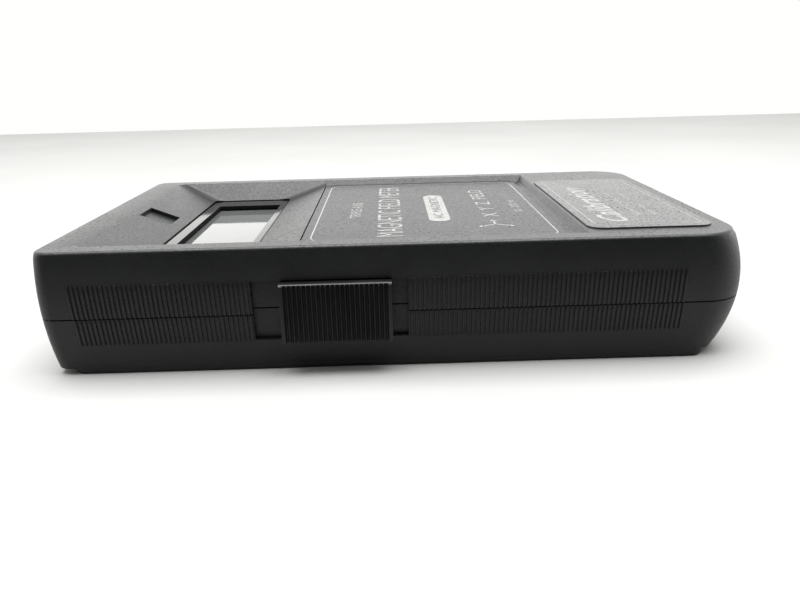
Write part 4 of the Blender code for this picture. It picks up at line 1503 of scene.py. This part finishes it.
class Inside:
    """CAD pieces that keep their shape and take their finish here."""

    def __init__(self, palette: Palette) -> None:
        """Hold the finishes of the CAD pieces.

        Args:
            palette: The meter's finishes.
        """
        self.looks = {
            palette.reflector: ["lcd_reflector"],
            palette.holder: ["lcd_holder"],
            palette.contact: ["zebra_strip_1", "zebra_strip_2"],
            palette.board: ["main_board"],
            palette.chip: ["display_driver_chip", "coil_amplifier_chip_1", "coil_amplifier_chip_2",
                           "rms_converter_chip", "regulator_chip"],
            palette.sleeve: ["electrolytic_capacitor_1", "electrolytic_capacitor_2"],
            palette.dipped: ["film_capacitor_1", "film_capacitor_2", "film_capacitor_3"],
            palette.trimmer: ["trimmer_body_1", "trimmer_body_2"],
            palette.brass: ["trimmer_rotor_1", "trimmer_rotor_2"],
            palette.nylon: ["coil_bobbin_x", "coil_bobbin_y", "coil_bobbin_z"],
            palette.windings[Axis.X]: ["coil_winding_x"],
            palette.windings[Axis.Y]: ["coil_winding_y"],
            palette.windings[Axis.Z]: ["coil_winding_z"],
            palette.switch: ["slide_switch_body"],
            palette.lever: ["slide_switch_lever"],
            palette.jacket: ["battery"],
            palette.terminal: ["battery_terminal_positive", "battery_terminal_negative"],
            palette.snap: ["snap_connector"],
            palette.red_lead: ["battery_lead_red"],
            palette.black_lead: ["battery_lead_black"],
            palette.zinc: [f"{kind}_screw_{i}" for kind in ("case", "board") for i in range(1, 5)],
            palette.foil: ["rating_label"],
        }

    def dress(self) -> None:
        """Give every carried-over CAD node its finish."""
        for look, names in self.looks.items():
            for name in names:
                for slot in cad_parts[name].material_slots:
                    slot.material = look
                LOG.info("%s: %s", name, look.name)


# ---------------------------------------------------------------- studio

@dataclass
class Studio:
    """Pale table, bright even surroundings and the camera."""

    camera_place: Point = (-0.94, -188.98, 63.61)
    yaw: float = 0.01113
    pitch: float = 0.31857
    roll: float = -0.02595
    lens: float = 32.353
    floor_half: float = 620.0
    floor_drop: float = 0.02
    card: tuple[Point, Point] = ((-400.0, -600.0, 1.0), (400.0, -88.0, 3.0))
    sky_axis: Point = (0.0, 0.83, 0.56)
    sky_strength: tuple[float, float] = (0.03, 2.8)
    softbox_size: tuple[float, float] = (800.0, 600.0)
    softbox_place: Point = (0.0, -60.0, 800.0)
    softbox_power: float = 21.0

    def camera(self) -> None:
        """Set the camera low in front of the slide's side, a little above the face."""
        forward = Vector((math.sin(self.yaw) * math.cos(self.pitch), math.cos(self.yaw) * math.cos(self.pitch),
                          -math.sin(self.pitch)))
        level = Vector((math.cos(self.yaw), -math.sin(self.yaw), 0.0))
        upward = level.cross(forward)
        right = level * math.cos(self.roll) + upward * math.sin(self.roll)
        up = upward * math.cos(self.roll) - level * math.sin(self.roll)
        data = bpy.data.cameras.new("camera")
        data.lens = self.lens
        data.sensor_width = 36.0
        data.clip_start = 0.01
        holder = bpy.data.objects.new("camera", data)
        turn = Matrix((right, up, -forward)).transposed().to_4x4()
        holder.matrix_world = Matrix.Translation(Vector(self.camera_place) * MM) @ turn
        bpy.context.collection.objects.link(holder)
        bpy.context.scene.camera = holder

    @staticmethod
    def _lay(name: str, mesh: Mesh, finish: Finish) -> bpy.types.Object:
        """Put a piece in the studio that isn't part of the object.

        Args:
            name: Name of the piece.
            mesh: Its shape, in millimetres.
            finish: Its finish.

        Returns:
            The piece.
        """
        bmesh.ops.scale(mesh, vec=(MM, MM, MM), verts=mesh.verts)
        piece = link_object(name, mesh)
        piece.data.materials.append(finish.material())
        return piece

    def floor(self) -> None:
        """Lay the pale table top, a hair below the foot."""
        mesh = bmesh.new()
        bmesh.ops.create_grid(mesh, x_segments=1, y_segments=1, size=self.floor_half)
        bmesh.ops.translate(mesh, vec=(0, 0, -self.floor_drop), verts=mesh.verts)
        # Matt pale board: even, with a very slight tone and no gloss.
        self._lay("table_top", mesh, Finish("matt_pale_board", "#919190", "#8E8E8D", (0.9, 0.95), 4.0, 0.001,
                                            90.0, ior=1.0))

    def flag(self) -> None:
        """Lay a dark card in front, seen only in reflections, so that the near side stays deep black."""
        # Black felt: takes light away and gives nothing back.
        card = self._lay("dark_flag", brick(*self.card), Finish("black_felt", "#1A1A1A", "#202020", (0.9, 0.95),
                                                                2.0, 0.2, ior=1.2))
        card.visible_camera = False
        card.visible_diffuse = False
        card.visible_shadow = False

    def light(self) -> None:
        """Surround the scene with white that is brightest behind and above the object."""
        world = bpy.data.worlds.new("studio")
        world.use_nodes = True
        tree = world.node_tree
        background = tree.nodes["Background"]
        background.inputs["Color"].default_value = linear("#FFFFFD")
        direction = add_node(tree, "TexCoord").outputs["Generated"]
        # Bright from behind and from straight above, falling away towards the near side.
        side = add_node(tree, "VectorMath", {1: self.sky_axis}, {0: direction}, operation="DOT_PRODUCT")
        dim, bright = self.sky_strength
        strength = add_node(tree, "MapRange", {"From Min": -0.6, "From Max": 0.4, "To Min": dim,
                                               "To Max": bright}, {"Value": side.outputs["Value"]},
                            interpolation_type="SMOOTHSTEP")
        # Dimmer between the bright band at table height and the softbox overhead.
        height = add_node(tree, "SeparateXYZ", links={0: direction})
        band = add_node(tree, "MapRange", {"From Min": 0.22, "From Max": 0.6, "To Min": 1.0, "To Max": 0.66},
                        {"Value": height.outputs["Z"]}, interpolation_type="SMOOTHSTEP")
        banded = add_node(tree, "Math", links={0: strength.outputs["Result"], 1: band.outputs["Result"]},
                          operation="MULTIPLY")
        # Seen directly it is plain white all round, whatever side the object is looked at from.
        seen = add_node(tree, "Mix", {3: 1.0}, {0: add_node(tree, "LightPath").outputs["Is Camera Ray"],
                                                2: banded.outputs[0]})
        tree.links.new(seen.outputs[0], background.inputs["Strength"])
        bpy.context.scene.world = world
        lamp = bpy.data.lights.new("overhead_softbox", "AREA")
        lamp.shape = "RECTANGLE"
        lamp.size, lamp.size_y = (side * MM for side in self.softbox_size)
        lamp.energy = self.softbox_power
        holder = bpy.data.objects.new("overhead_softbox", lamp)
        holder.location = Vector(self.softbox_place) * MM
        bpy.context.collection.objects.link(holder)
        bpy.context.scene.view_settings.view_transform = "Standard"

    def build(self) -> None:
        """Set up camera, table and light."""
        self.camera()
        self.floor()
        self.flag()
        self.light()


def main() -> None:
    """Build the looks of the meter, sub-assembly by sub-assembly."""
    logging.basicConfig(level=logging.INFO, format="%(name)s %(message)s")
    Studio().build()
    palette = Palette()
    form = CaseForm()
    ports = Ports(form)
    front = FrontShell(form, ports)
    front.build(palette)
    rear = RearShell(form, ports)
    rear.build(palette)
    rear.build_door(palette)
    GripRibs(form).build(palette)
    PowerSlide(form).build(palette)
    Display(form, front).build(palette)
    FaceLabel(form).build(palette)
    ServiceSticker().build(palette)
    legs = ChipLegs()
    for node, count in (("display_driver_chip", 20), ("coil_amplifier_chip_1", 7), ("coil_amplifier_chip_2", 7),
                        ("rms_converter_chip", 7), ("regulator_chip", 2)):
        legs.build(node, count, palette)
    BatteryPad().build(palette)
    Inside(palette).dress()


if __name__ == "__main__":
    main()
